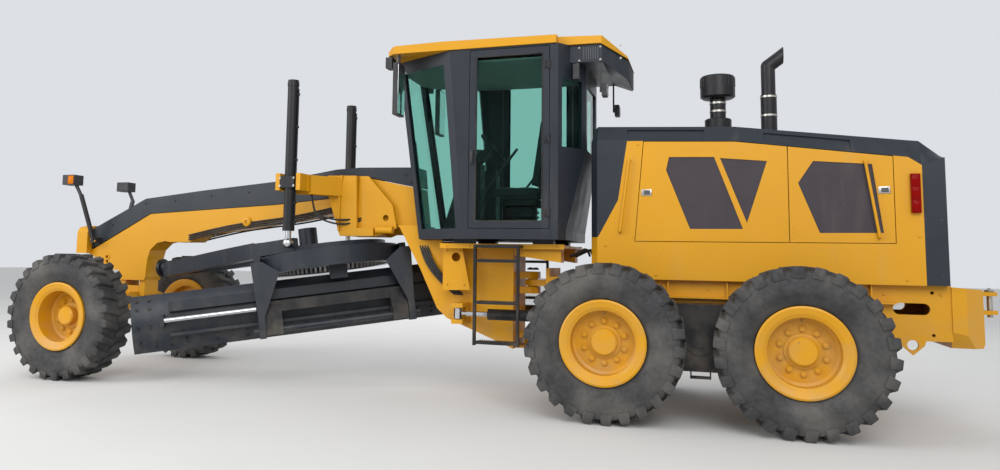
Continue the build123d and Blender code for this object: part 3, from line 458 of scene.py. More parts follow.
def sleeve(inner: float, outer: float, low: float, high: float) -> list[tuple[float, float]]:
    """Return the outline of a plain ring for Shape.ring."""
    return [(inner, low), (outer, low), (outer, high), (inner, high)]


def finish_piece(mesh: bmesh.types.BMesh, name: str, body: str, finish: Finish,
                 smooth: float = 35.0) -> bpy.types.Object:
    """Turn a bmesh into a named piece that rides on a body.

    Args:
        mesh: The shape; it is freed.
        name: The piece's name.
        body: The body that it moves with.
        finish: Its finish.
        smooth: Angle in degrees past which an edge stays sharp.

    Returns:
        The piece's object.
    """
    bmesh.ops.recalc_face_normals(mesh, faces=mesh.faces)
    data = bpy.data.meshes.new(name)
    mesh.to_mesh(data)
    mesh.free()
    data.shade_smooth()
    data.set_sharp_from_angle(angle=radians(smooth))
    piece = bpy.data.objects.new(name, data)
    bpy.context.scene.collection.objects.link(piece)
    piece.data.materials.append(finish.material())
    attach(piece, body)
    LOG.info("%s: %d faces", name, len(data.polygons))
    return piece


def centre(node: str) -> Vector:
    """Return the middle of a node's box."""
    low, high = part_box(node)
    return (Vector(low) + Vector(high)) / 2


REAR_AXLE = centre("tyre_rear_left").x
# Millimetres: the drawbar's ball from the ground under the rearmost axle, and the circle's middle behind it.
BALL, CIRCLE_BACK = (6921.0, 0.0, 1189.0), -2184.0
DRAWBAR_PITCH, BLADE_YAW = radians(8.6), radians(31.0)
MM = Matrix.Translation((REAR_AXLE, 0.0, 0.0)) @ Matrix.Scale(0.001, 4)
DRAWBAR = Matrix.Translation(BALL) @ Matrix.Rotation(DRAWBAR_PITCH, 4, "Y")
CIRCLE = DRAWBAR @ Matrix.Translation((CIRCLE_BACK, 0.0, 0.0)) @ Matrix.Rotation(BLADE_YAW, 4, "Z")


class Shape:
    """A piece in the making: bmesh operators in millimetres ahead of the rear axle, left and up."""

    def __init__(self) -> None:
        """Start empty."""
        self.mesh = bmesh.new()

    def soften(self, verts: list, width: float, segments: int = 2) -> None:
        """Bevel every edge that meets some vertices.

        Args:
            verts: The vertices.
            width: Width of the bevel in millimetres.
            segments: Number of segments across it.
        """
        edges = list({e for v in verts for e in v.link_edges})
        bmesh.ops.bevel(self.mesh, geom=edges, offset=width, affect="EDGES", segments=segments, profile=0.5,
                        material=-1)

    def block(self, low: Point, high: Point, bevel: float = 2.0, turn: Matrix | None = None) -> "Shape":
        """Add a bevelled block.

        Args:
            low: One corner.
            high: The corner across from it.
            bevel: Width of the bevel.
            turn: A rotation about the block's middle.

        Returns:
            The shape itself.
        """
        low, high = (Vector(pick(pair) for pair in zip(low, high)) for pick in (min, max))
        size = high - low
        place = Matrix.Translation((low + high) / 2) @ (turn or Matrix()) @ Matrix.Diagonal((*size, 1.0))
        made = bmesh.ops.create_cube(self.mesh, size=1.0, matrix=place)["verts"]
        if bevel:
            self.soften(made, min(bevel, min(size) * 0.3))
        return self

    def rod(self, start: Point, end: Point, radius: float, end_radius: float | None = None, sides: int = 24,
            bevel: float = 0.0) -> "Shape":
        """Add a round bar or cone between two points.

        Args:
            start: Middle of one end.
            end: Middle of the other.
            radius: Radius at the start.
            end_radius: Radius at the end, or None for the same.
            sides: Number of sides; six gives a nut.
            bevel: Width of the bevel.

        Returns:
            The shape itself.
        """
        start, end = Vector(start), Vector(end)
        way = end - start
        place = Matrix.Translation((start + end) / 2) @ way.to_track_quat("Z", "Y").to_matrix().to_4x4()
        made = bmesh.ops.create_cone(self.mesh, cap_ends=True, segments=sides, radius1=radius,
                                     radius2=radius if end_radius is None else end_radius, depth=way.length,
                                     matrix=place)["verts"]
        if bevel:
            self.soften(made, bevel, 1)
        return self

    def bolt(self, place: Point, way: Point, size: float = 15.0) -> "Shape":
        """Add a washer, a six-sided head and a domed thread end.

        Args:
            place: Where the washer rests.
            way: Direction that the head points in.
            size: Radius of the head.

        Returns:
            The shape itself.
        """
        place, way = Vector(place), Vector(way).normalized()
        self.rod(place - way * 1.0, place + way * size * 0.22, size * 1.35, sides=16)
        self.rod(place + way * size * 0.2, place + way * size * 1.0, size, sides=6, bevel=size * 0.08)
        return self.rod(place + way * size * 0.95, place + way * size * 1.2, size * 0.5, size * 0.42,
                        sides=10)

    def prism(self, outline: Outline, low: float, high: float, bevel: float = 2.0,
              face: str = "side") -> "Shape":
        """Add a slab with a drawn outline.

        Args:
            outline: Corner points in (x, z), or (x, y) where the slab lies flat.
            low: One end across the machine, or in height.
            high: The other end.
            bevel: Width of the bevel.
            face: "side" for an upright slab along the machine, "plan" for a flat one.

        Returns:
            The shape itself.
        """
        low, high = sorted((low, high))
        corners = [(a, low, b) if face == "side" else (a, b, low) for a, b in outline]
        sheet = self.mesh.faces.new([self.mesh.verts.new(corner) for corner in corners])
        grown = bmesh.ops.extrude_face_region(self.mesh, geom=[sheet])["geom"]
        moved = [v for v in grown if isinstance(v, bmesh.types.BMVert)]
        step = (0, high - low, 0) if face == "side" else (0, 0, high - low)
        bmesh.ops.translate(self.mesh, vec=step, verts=moved)
        if bevel:
            self.soften(list(sheet.verts) + moved, bevel, 1)
        return self

    def ring(self, profile: list[tuple[float, float]], place: Point, way: Point, steps: int = 40) -> "Shape":
        """Add a turned shape.

        Args:
            profile: Closed outline of (radius, along) points.
            place: Where along is 0.
            way: Direction of the axis.
            steps: Segments round the axis.

        Returns:
            The shape itself.
        """
        spot = Matrix.Translation(place) @ Vector(way).to_track_quat("Y", "Z").to_matrix().to_4x4()
        verts = [self.mesh.verts.new((0.0, along, r)) for r, along in profile]
        edges = [self.mesh.edges.new(pair) for pair in zip(verts, verts[1:] + verts[:1])]
        bmesh.ops.spin(self.mesh, geom=verts + edges, cent=(0, 0, 0), axis=(0, 1, 0), angle=2 * pi,
                       steps=steps, use_merge=True)
        bmesh.ops.transform(self.mesh, matrix=spot, verts=joined(verts))
        return self

    def perforated(self, outline: Outline, y: float, cell: float = 21.0, web: float = 3.5) -> "Shape":
        """Add an upright perforated sheet with a convex outline.

        Args:
            outline: Corner points in (x, z).
            y: Where it stands across the machine.
            cell: Pitch of the holes.
            web: Half the width left between the holes.

        Returns:
            The shape itself.
        """
        xs, zs = [p[0] for p in outline], [p[1] for p in outline]
        mid = Vector(((min(xs) + max(xs)) / 2, y, (min(zs) + max(zs)) / 2))
        wide, high = max(xs) - min(xs), max(zs) - min(zs)
        upright = Matrix.Rotation(pi / 2, 4, "X")
        place = Matrix.Translation(mid) @ upright @ Matrix.Diagonal((wide, high, 1, 1))
        made = bmesh.ops.create_grid(self.mesh, x_segments=max(2, round(wide / cell)),
                                     y_segments=max(2, round(high / cell)), size=0.5, matrix=place)["verts"]
        inside = Vector((sum(xs) / len(xs), 0.0, sum(zs) / len(zs)))
        for (x0, z0), (x1, z1) in zip(outline, outline[1:] + outline[:1]):
            normal = Vector((z1 - z0, 0.0, x0 - x1)).normalized()
            if normal.dot(inside - Vector((x0, 0.0, z0))) > 0:
                normal = -normal
            faces = {f for v in made for f in v.link_faces}
            geom = [*faces, *{e for f in faces for e in f.edges}, *{v for f in faces for v in f.verts}]
            cut = bmesh.ops.bisect_plane(self.mesh, geom=geom, plane_co=(x0, y, z0), plane_no=normal,
                                         clear_outer=True)
            made = [g for g in cut["geom"] if isinstance(g, bmesh.types.BMVert) and g.is_valid]
        faces = list({f for v in made for f in v.link_faces})
        bmesh.ops.inset_individual(self.mesh, faces=faces, thickness=web, use_even_offset=True)
        bmesh.ops.delete(self.mesh, geom=faces, context="FACES")
        return self

    def twin(self) -> "Shape":
        """Add the same again on the machine's other side.

        Returns:
            The shape itself.
        """
        copied = bmesh.ops.duplicate(self.mesh, geom=[*self.mesh.verts, *self.mesh.edges, *self.mesh.faces])
        verts = [g for g in copied["geom"] if isinstance(g, bmesh.types.BMVert)]
        faces = [g for g in copied["geom"] if isinstance(g, bmesh.types.BMFace)]
        bmesh.ops.scale(self.mesh, vec=(1, -1, 1), verts=verts)
        bmesh.ops.reverse_faces(self.mesh, faces=faces)
        return self

    def piece(self, name: str, body: str, finish: Finish, frame_of: Matrix | None = None,
              smooth: float = 35.0) -> bpy.types.Object:
        """Place the shape and make it a piece.

        Args:
            name: The piece's name.
            body: The body that it moves with.
            finish: Its finish.
            frame_of: The drawbar's or circle's own frame, or None.
            smooth: Angle in degrees past which an edge stays sharp.

        Returns:
            The piece's object.
        """
        bmesh.ops.transform(self.mesh, matrix=MM @ (frame_of or Matrix()), verts=self.mesh.verts)
        return finish_piece(self.mesh, name, body, finish, smooth)


def hose(name: str, body: str, points: list[Point], radius: float) -> bpy.types.Object:
    """Lay a hose along a smooth line.

    Args:
        name: The piece's name.
        body: The body that it moves with.
        points: Control points in millimetres.
        radius: Half the hose's diameter in millimetres.

    Returns:
        The hose's curve object.
    """
    curve = bpy.data.curves.new(name, "CURVE")
    curve.dimensions = "3D"
    curve.bevel_depth = radius / 1000
    curve.bevel_resolution = 4
    curve.use_fill_caps = True
    curve.resolution_u = 8
    line = curve.splines.new("NURBS")
    line.points.add(len(points) - 1)
    for spot, point in zip(line.points, points):
        spot.co = (*(MM @ Vector(point)), 1.0)
    line.order_u = 3
    line.use_endpoint_u = True
    piece = bpy.data.objects.new(name, curve)
    bpy.context.scene.collection.objects.link(piece)
    curve.materials.append(Finish.HOSE.material())
    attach(piece, body)
    LOG.info("%s: %d control points", name, len(points))
    return piece


@dataclass(frozen=True)
class Side:
    """One side of the machine: its name and its sign across it."""

    name: str
    way: int


SIDES = (Side("left", 1), Side("right", -1))


# ---------------- wheels
@dataclass
class Tyre:
    """A ribbed-shoulder traction tyre built about its axle, then placed on its wheel."""

    node: str
    body: str
    radius: float = 0.6688
    carcass: float = 0.640
    bead: float = 0.366
    lugs: int = 26
    slant: float = 0.30

    def profile(self) -> list[tuple[float, float]]:
        """Give the section of the carcass.

        Returns:
            Points of (radius, y) in metres, from the left bead to the right one.
        """
        side = [(self.bead, 0.168), (0.405, 0.196), (0.450, 0.209), (0.458, 0.2145), (0.500, 0.2165),
                (0.545, 0.2155), (0.590, 0.2075), (0.622, 0.190), (0.636, 0.150), (self.carcass, 0.06)]
        return side + [(r, -y) for r, y in reversed(side)]

    def add_lug(self, mesh: bmesh.types.BMesh, turn: float, way: int) -> None:
        """Add one bevelled lug that runs from the middle over the shoulder.

        Args:
            mesh: The tyre's mesh.
            turn: Angle round the axle in radians.
            way: 1 for the left half of the tread, -1 for the right.
        """
        made = bmesh.ops.create_cube(mesh, size=1.0)
        for vert in made["verts"]:
            outer, top, ahead = vert.co.y > 0, vert.co.z > 0, vert.co.x > 0
            y = (0.2185 if not top else 0.200) if outer else 0.006
            z = self.radius if top else (0.575 if outer else self.carcass - 0.008)
            width = (0.030 if top else 0.040) * (1.25 if outer else 0.85)
            x = (width if ahead else -width) + (y - 0.1) * self.slant
            vert.co = (x, y, z)
        edges = list({e for v in made["verts"] for e in v.link_edges})
        done = bmesh.ops.bevel(mesh, geom=edges, offset=0.006, affect="EDGES", segments=2, profile=0.5,
                               material=-1)
        lug = joined([v for f in done["faces"] for v in f.verts])
        if way < 0:
            bmesh.ops.scale(mesh, vec=(1, -1, 1), verts=lug)
            bmesh.ops.reverse_faces(mesh, faces=list({f for v in lug for f in v.link_faces}))
        bmesh.ops.rotate(mesh, cent=(0, 0, 0), matrix=Matrix.Rotation(turn, 3, "Y"), verts=lug)

    def build(self) -> bpy.types.Object:
        """Build the tyre on its wheel.

        Returns:
            The tyre's object, which stands for the plain node.
        """
        mesh = bmesh.new()
        lathe(mesh, self.profile(), 72)
        pitch = 2 * pi / self.lugs
        for i in range(self.lugs):
            self.add_lug(mesh, i * pitch, 1)
            self.add_lug(mesh, (i + 0.5) * pitch, -1)
        bmesh.ops.translate(mesh, vec=centre(self.node), verts=mesh.verts)
        piece = finish_piece(mesh, f"{self.node}_tread", self.body, Finish.TYRE)
        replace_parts(piece, self.node)
        return piece


@dataclass
class WheelSet:
    """Tyres for all six wheels."""

    places: tuple[str, ...] = tuple(f"{axle}_{side.name}" for axle in ("rear", "middle", "front")
                                    for side in SIDES)

    def build(self) -> None:
        """Build every tyre."""
        for place in self.places:
            Tyre(f"tyre_{place}", f"wheel_{place}").build()


@dataclass(frozen=True)
class RimFace:
    """Where one kind of rim carries its fasteners.

    Attributes:
        plane: Middle of the wheel, from the machine's centre.
        disc: Outer face of the disc, from that plane.
        cap: Outer face of the hub cap's rim, from that plane.
        cap_circle: Radius of the cap screws' circle.
    """

    plane: float
    disc: float
    cap: float
    cap_circle: float


@dataclass
class RimHardware:
    """Wheel nuts, hub cap screws and a valve on each rim."""

    front: RimFace = RimFace(1093.5, -30.0, 63.0, 82.0)
    rear: RimFace = RimFace(1077.5, 35.0, 85.0, 96.0)
    nuts: int = 10
    nut_circle: float = 176.0
    nut_size: float = 23.0
    cap_screws: int = 8
    cap_screw_size: float = 6.0
    valve_foot: float = 238.0
    valve_tip: float = 246.0
    valve_length: float = 42.0

    def rim(self, place: str) -> None:
        """Build the hardware of one rim.

        Args:
            place: The wheel's place, such as rear_left.
        """
        middle = MM.inverted() @ centre(f"rim_{place}")
        way = 1.0 if middle.y > 0 else -1.0
        face = self.front if place.startswith("front") else self.rear
        disc, cap = way * (face.plane + face.disc), way * (face.plane + face.cap)
        shape = Shape()
        for x, z in around(self.nuts, self.nut_circle, 0.5):
            shape.bolt((middle.x + x, disc, middle.z + z), (0, way, 0), self.nut_size)
        for x, z in around(self.cap_screws, face.cap_circle):
            shape.bolt((middle.x + x, cap, middle.z + z), (0, way, 0), self.cap_screw_size)
        shape.piece(f"nuts_{place}", f"wheel_{place}", Finish.YELLOW)
        foot = (middle.x, disc, middle.z + self.valve_foot)
        tip = (middle.x, disc + way * self.valve_length, middle.z + self.valve_tip)
        Shape().rod(foot, tip, 7, 5, 12).piece(f"valve_{place}", f"wheel_{place}", Finish.ZINC)

    def build(self) -> None:
        """Build the hardware of all six rims."""
        for place in WheelSet().places:
            self.rim(place)


# ---------------- hood
@dataclass(frozen=True)
class Hatch:
    """One engine door: its vents, its latch and which way it lies from the hinge."""

    name: str
    way: int
    latch_x: float
    vents: tuple[Outline, ...]


@dataclass
class HoodTrim:
    """Perforated vents, latches, hinges, screws, tail lenses, the rear screen and the stacks' bands."""

    face: float = 560.0
    front: Hatch = Hatch("front", 1, 1225.0, (
        ((1022, 2317), (632, 2307), (401, 1659), (847, 1658), (1050, 2197)),
        ((582, 2296), (192, 2260), (367, 1713))))
    rear: Hatch = Hatch("rear", -1, -715.0, (
        ((-177, 2251), (-631, 2214), (-702, 1630), (-215, 1627), (-54, 2061)),))
    latch_z: float = 1992.0
    hinge_x: float = 25.0
    rivet_offset: float = 30.0
    screws: Outline = ((1344, 1580), (1300, 2440), (1350, 1240), (1150, 1240), (-960, 1600), (-960, 2100),
                       (40, 1240), (-860, 1240), (1480, 1300), (1600, 1500))
    lens_x: tuple[float, float] = (-971.0, -915.0)
    lens_heights: Outline = ((1806, 1900), (1910, 2010), (2020, 2114))
    screen_x: float = -1130.0
    pre_cleaner_x: float = 586.0
    exhaust_x: float = 129.0
    band: float = 4.5

    def vents(self, hatch: Hatch, side: Side) -> None:
        """Build one door's vent screens with a dark sheet just behind them, painted shade for the shaded
        engine bay seen through the holes.

        Args:
            hatch: The engine door.
            side: The machine's side.
        """
        screen, painted_shade_sheet = Shape(), Shape()
        for outline in hatch.vents:
            screen.perforated(outline, side.way * (self.face - 5.0))
            # Dark sheet in the vent mesh's colour just behind the screen: painted shade where the holes show
            # the shaded engine bay.
            painted_shade_sheet.prism(outline, side.way * (self.face - 9.9), side.way * (self.face - 8.5), 0)
        body = f"engine_door_{hatch.name}_{side.name}"
        screen.piece(f"vent_screen_{hatch.name}_{side.name}", body, Finish.MESH)
        painted_shade_sheet.piece(f"vent_backing_{hatch.name}_{side.name}", body, Finish.MESH)

    def fittings(self, hatch: Hatch, side: Side) -> None:
        """Build one door's latch and hinge rivets.

        Args:
            hatch: The engine door.
            side: The machine's side.
        """
        body, way, x, z = f"engine_door_{hatch.name}_{side.name}", side.way, hatch.latch_x, self.latch_z
        y = way * self.face
        plate = Shape().block((x - 46, y - way, z - 30), (x + 46, y + way * 7, z + 30), 6)
        plate.piece(f"latch_plate_{hatch.name}_{side.name}", body, Finish.ZINC)
        grip = Shape().block((x - 32, y + way * 6, z - 20), (x + 22, y + way * 12, z + 20), 4)
        grip.rod((x + 2, y + way * 11, z), (x + 2, y + way * 15, z), 7, sides=16, bevel=1)
        grip.piece(f"latch_grip_{hatch.name}_{side.name}", body, Finish.GREY_PLASTIC)
        rivets = Shape()
        x = self.hinge_x + hatch.way * self.rivet_offset
        for z in (1630.0, 1670.0, 2160.0, 2200.0):
            rivets.rod((x, y - way, z), (x, y + way * 2.5, z), 9, 8, 16)
        rivets.piece(f"hinge_screws_{hatch.name}_{side.name}", body, Finish.YELLOW)

    def side(self, side: Side) -> None:
        """Build what the hood carries on one side.

        Args:
            side: The machine's side.
        """
        for hatch in (self.front, self.rear):
            self.vents(hatch, side)
            self.fittings(hatch, side)
        screws, lens = Shape(), Shape()
        for x, z in self.screws:
            screws.bolt((x, side.way * self.face, z), (0, side.way, 0), 8)
        screws.piece(f"panel_screws_{side.name}", "rear_frame", Finish.YELLOW)
        for low, high in self.lens_heights:
            lens.block((self.lens_x[0], side.way * 595.0, low), (self.lens_x[1], side.way * 600.0, high), 3)
        lens.piece(f"tail_lens_{side.name}", "rear_frame", Finish.RED)

    def screen(self) -> None:
        """Build the cooling screen behind the rear slats."""
        x, shape = self.screen_x, Shape()
        for y in spread(-470.0, 470.0, 24):
            shape.rod((x, y, 1300), (x, y, 2100), 2.5, sides=6)
        for z in spread(1310.0, 2090.0, 20):
            shape.rod((x, -478, z), (x, 478, z), 2.5, sides=6)
        shape.piece("rear_screen", "rear_frame", Finish.BLACK)

    def stack_bands(self) -> None:
        """Build clamp bands on the stacks and the pre-cleaner's ribs."""
        bands, ribs = Shape(), Shape()
        for x, z, radius in ((self.pre_cleaner_x, 2820, 73), (self.pre_cleaner_x, 2900, 73),
                             (self.exhaust_x, 2760, 71), (self.exhaust_x, 2940, 71)):
            bands.ring(sleeve(radius, radius + self.band, -9, 9), (x, 0, z), (0, 0, 1))
        bands.piece("stack_bands", "rear_frame", Finish.ZINC)
        for x, y in around(28, 160.0):
            ribs.rod((self.pre_cleaner_x + x, y, 3055), (self.pre_cleaner_x + x, y, 3140), 3.5, sides=8)
        ribs.piece("pre_cleaner_ribs", "rear_frame", Finish.PLASTIC)

    def build(self) -> None:
        """Build the hood's trim."""
        for side in SIDES:
            self.side(side)
        self.screen()
        self.stack_bands()


# ---------------- cab
@dataclass
class CabTrim:
    """Window seals, door furniture, lining, louvres, wiper, lenses and the controls."""

    rear: float = 2162.0
    front: float = 2836.0
    low: float = 1712.0
    high: float = 3347.0
    seal: float = 16.0
    hinge_x: float = 2104.0
    hinge_y: float = 706.0
    hinge_heights: tuple[float, ...] = (1800.0, 2500.0, 3220.0)
    lining_half: Outline = ((1853, 340), (2040, 648), (3090, 648), (3740, 360))
    louvres: int = 9
    side_louvres: int = 7
    lamps: tuple[tuple[Point, float], ...] = (((8044, 465, 2225), 46.0), ((3816, 600, 3356), 40.0))
    levers: int = 4

    def seals(self, side: Side) -> None:
        """Build the rubber seal round one door's pane.

        Args:
            side: The machine's side.
        """
        inner, outer, width, shape = side.way * 681.0, side.way * 702.0, self.seal, Shape()
        for z0, z1 in ((self.low, self.low + width), (self.high - width, self.high)):
            shape.block((self.rear, inner, z0), (self.front, outer, z1), 3)
        for x0, x1 in ((self.rear, self.rear + width), (self.front - width, self.front)):
            shape.block((x0, inner, self.low + width - 2), (x1, outer, self.high - width + 2), 3)
        shape.piece(f"door_seal_{side.name}", f"cab_door_{side.name}", Finish.SEAL)

    def furniture(self, side: Side) -> None:
        """Build one door's handle, hinges and inner rail.

        Args:
            side: The machine's side.
        """
        body, way, y = f"cab_door_{side.name}", side.way, side.way * self.hinge_y
        handle = Shape().block((self.front + 16, way * 711, 2285), (self.front + 44, way * 724, 2405), 5)
        lock = self.front + 30
        handle.rod((lock, way * 716, 2300), (lock, way * 733, 2300), 9, sides=16, bevel=1.5)
        handle.piece(f"door_handle_{side.name}", body, Finish.PLASTIC)
        hinges, rail = Shape(), Shape()
        for z in self.hinge_heights:
            hinges.rod((self.hinge_x, y, z - 45), (self.hinge_x, y, z + 45), 11, sides=18, bevel=2)
            hinges.block((self.hinge_x, y - way * 6.5, z - 38), (self.hinge_x + 48, y, z + 38), 2)
            for step in (-22, 22):
                hinges.bolt((self.hinge_x + 28, y, z + step), (0, way, 0), 6)
        hinges.piece(f"door_hinges_{side.name}", body, Finish.BLACK)
        path = [(self.front - 40, way * 660, 1800), (self.front - 90, way * 652, 2000),
                (self.rear + 260, way * 652, 2420)]
        for start, end in zip(path, path[1:]):
            rail.rod(start, end, 13, sides=16)
        rail.piece(f"door_inner_rail_{side.name}", body, Finish.PLASTIC)

    def lining(self) -> None:
        """Build the grey roof lining."""
        outline = [*self.lining_half, *((x, -y) for x, y in reversed(self.lining_half))]
        Shape().prism(outline, 3296, 3317, 0, "plan").piece("roof_lining", "front_frame", Finish.LINING)

    def cooler(self) -> None:
        """Build the air conditioner's louvres and screws."""
        back, flank, screws = Shape(), Shape(), Shape()
        for i in range(self.louvres):
            z = 3140 + i * 19
            back.block((1405, -285, z), (1418, 285, z + 7), 1.5)
        back.piece("cooler_louvres", "front_frame", Finish.GREY_PLASTIC)
        for i in range(self.side_louvres):
            x = 1660 + i * 22
            flank.block((x, 564, 3275), (x + 9, 570, 3400), 1.5)
        flank.twin().piece("cooler_side_louvres", "front_frame", Finish.GREY_PLASTIC)
        for x in (1450, 1640, 1840):
            for z in (3270, 3395):
                screws.bolt((x, 565, z), (0, 1, 0), 7)
        screws.twin().piece("cooler_screws", "front_frame", Finish.ZINC)

    def wiper(self) -> None:
        """Build the windscreen's wiper."""
        arm = Shape().rod((3545, 120, 1700), (3700, 40, 2620), 7, 5, sides=12)
        arm.block((3518, 90, 1650), (3560, 150, 1720), 6)
        arm.rod((3668, 60, 2350), (3744, 50, 2900), 6, sides=10)
        arm.piece("windscreen_wiper", "front_frame", Finish.BLACK)

    def lenses(self) -> None:
        """Build the lamps' lenses and bezels and the mirrors' glass."""
        lens, bezel = Shape(), Shape()
        for place, size in self.lamps:
            lens.ring([(0.5, 4), (size * 0.6, 3), (size, -1), (size, -6), (0.5, -6)], place, (1, 0, 0))
            bezel.ring([(size, -6), (size + 6, -6), (size + 5, 2), (size, 2)], place, (1, 0, 0))
        lens.twin().piece("lamp_lenses", "front_frame", Finish.CLEAR)
        bezel.twin().piece("lamp_bezels", "front_frame", Finish.GREY_PLASTIC)
        for name, low, high, bevel, finish in (
                ("mirror_glass", (3634, 568, 2808), (3640.5, 752, 3314), 2, Finish.MIRROR),
                ("rear_lamp_lenses", (1572, 490, 2925), (1580.5, 590, 3021), 4, Finish.CLEAR),
                ("turn_lenses", (7880, 539, 2176), (7960, 546, 2274), 4, Finish.AMBER)):
            Shape().block(low, high, bevel).twin().piece(name, "front_frame", finish)

    def controls(self) -> None:
        """Build levers and pedals."""
        shape = Shape()
        for way in (-1, 1):
            for i in range(self.levers):
                x, y = 2895 + i * 28, way * 300
                shape.rod((x, y, 2315), (x - 6, y, 2430), 5, sides=10)
                shape.rod((x - 6, y, 2425), (x - 8, y, 2475), 12, 14, sides=14, bevel=3)
        for y in (-150.0, 150.0):
            shape.block((3180, y - 40, 1640), (3290, y + 40, 1655), 4, Matrix.Rotation(-0.5, 4, "Y"))
        shape.piece("cab_levers", "front_frame", Finish.PLASTIC)

    def build(self) -> None:
        """Build the cab's trim."""
        for side in SIDES:
            self.seals(side)
            self.furniture(side)
        self.lining()
        self.cooler()
        self.wiper()
        self.lenses()
        self.controls()


@dataclass
class Seat:
    """Sprung seat: pedestal, a crowned cushion and a crowned back."""

    cuts: int = 15
    edge: float = 0.62
    channel: float = 0.16
    draw: float = 0.04
    bellows: tuple[float, ...] = (1690.0, 1740.0, 1790.0, 1840.0)

    def pad(self, name: str, low: Point, high: Point, lean: float) -> None:
        """Build one cushion with rounded, drawn-in sides and sewn channels.

        Args:
            name: The cushion's name.
            low: Its lowest corner in millimetres.
            high: Its highest corner.
            lean: Shift of the top to the rear.
        """
        shape = Shape().block(low, high, 0)
        bmesh.ops.subdivide_edges(shape.mesh, edges=shape.mesh.edges[:], cuts=self.cuts, use_grid_fill=True)
        low, high = Vector(low), Vector(high)
        mid, half = (low + high) / 2, (high - low) / 2
        thin = min(range(3), key=lambda axis: half[axis])
        wide = [axis for axis in range(3) if axis != thin]
        for vert in shape.mesh.verts:
            share = [(vert.co[axis] - mid[axis]) / half[axis] for axis in range(3)]
            crown = (1 - share[wide[0]] ** 4) * (1 - share[wide[1]] ** 4)
            groove = self.channel * max(0.0, cos(share[wide[0]] * pi * 2.5)) ** 8
            swell = self.edge + (1 - self.edge) * crown - groove * crown
            vert.co[thin] = mid[thin] + share[thin] * half[thin] * swell
            for axis, other in (wide, wide[::-1]):
                pull = self.draw * (1 - share[other] ** 2) * abs(share[axis]) ** 3
                vert.co[axis] -= share[axis] * half[axis] * pull
            vert.co.x -= lean * (vert.co.z - low.z) / (high.z - low.z)
        shape.piece(name, "front_frame", Finish.CLOTH, smooth=180.0)

    def build(self) -> None:
        """Build the seat in place of the plain one."""
        stand = Shape().block((2340, -170, 1602), (2690, 170, 1640), 6)
        stand.block((2380, -120, 1640), (2640, 120, 1900), 12)
        for z in self.bellows:
            stand.block((2366, -134, z), (2654, 134, z + 22), 8)
        stand.block((2330, -175, 1900), (2700, 175, 1978), 10)
        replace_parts(stand.piece("seat_pedestal", "front_frame", Finish.PLASTIC), "seat")
        self.pad("seat_cushion", (2290, -245, 1980), (2776, 245, 2098), 0.0)
        self.pad("seat_back", (2290, -232, 2104), (2392, 232, 2750), 92.0)


# ---------------- ladders, frames and cylinders
@dataclass
class LadderTreads:
    """Saw-toothed treads on the rungs and the platforms' bolts."""

    rungs: tuple[float, ...] = (582.0, 957.0, 1353.0)
    teeth: int = 18
    pitch: float = 21.4
    edge_bolts: Outline = ((2060, 1484), (2260, 1484), (2540, 1484), (2920, 1484), (3150, 1484))
    bracket_bolts: Outline = ((3050, 1440), (3190, 1440), (3180, 1100), (3000, 1100))

    def build(self) -> None:
        """Build the treads."""
        teeth, bolts = Shape(), Shape()
        for z in self.rungs:
            for i in range(self.teeth):
                x = 2412 + i * self.pitch
                for y in (632.0, 728.0):
                    teeth.rod((x, y, z - 1), (x, y, z + 9), 6, 3, sides=6)
        teeth.twin().piece("ladder_teeth", "front_frame", Finish.BLACK)
        for y, places in ((560, self.edge_bolts), (450, self.bracket_bolts)):
            for x, z in places:
                bolts.bolt((x, y, z), (0, 1, 0), 9)
        bolts.twin().piece("platform_bolts", "front_frame", Finish.YELLOW)


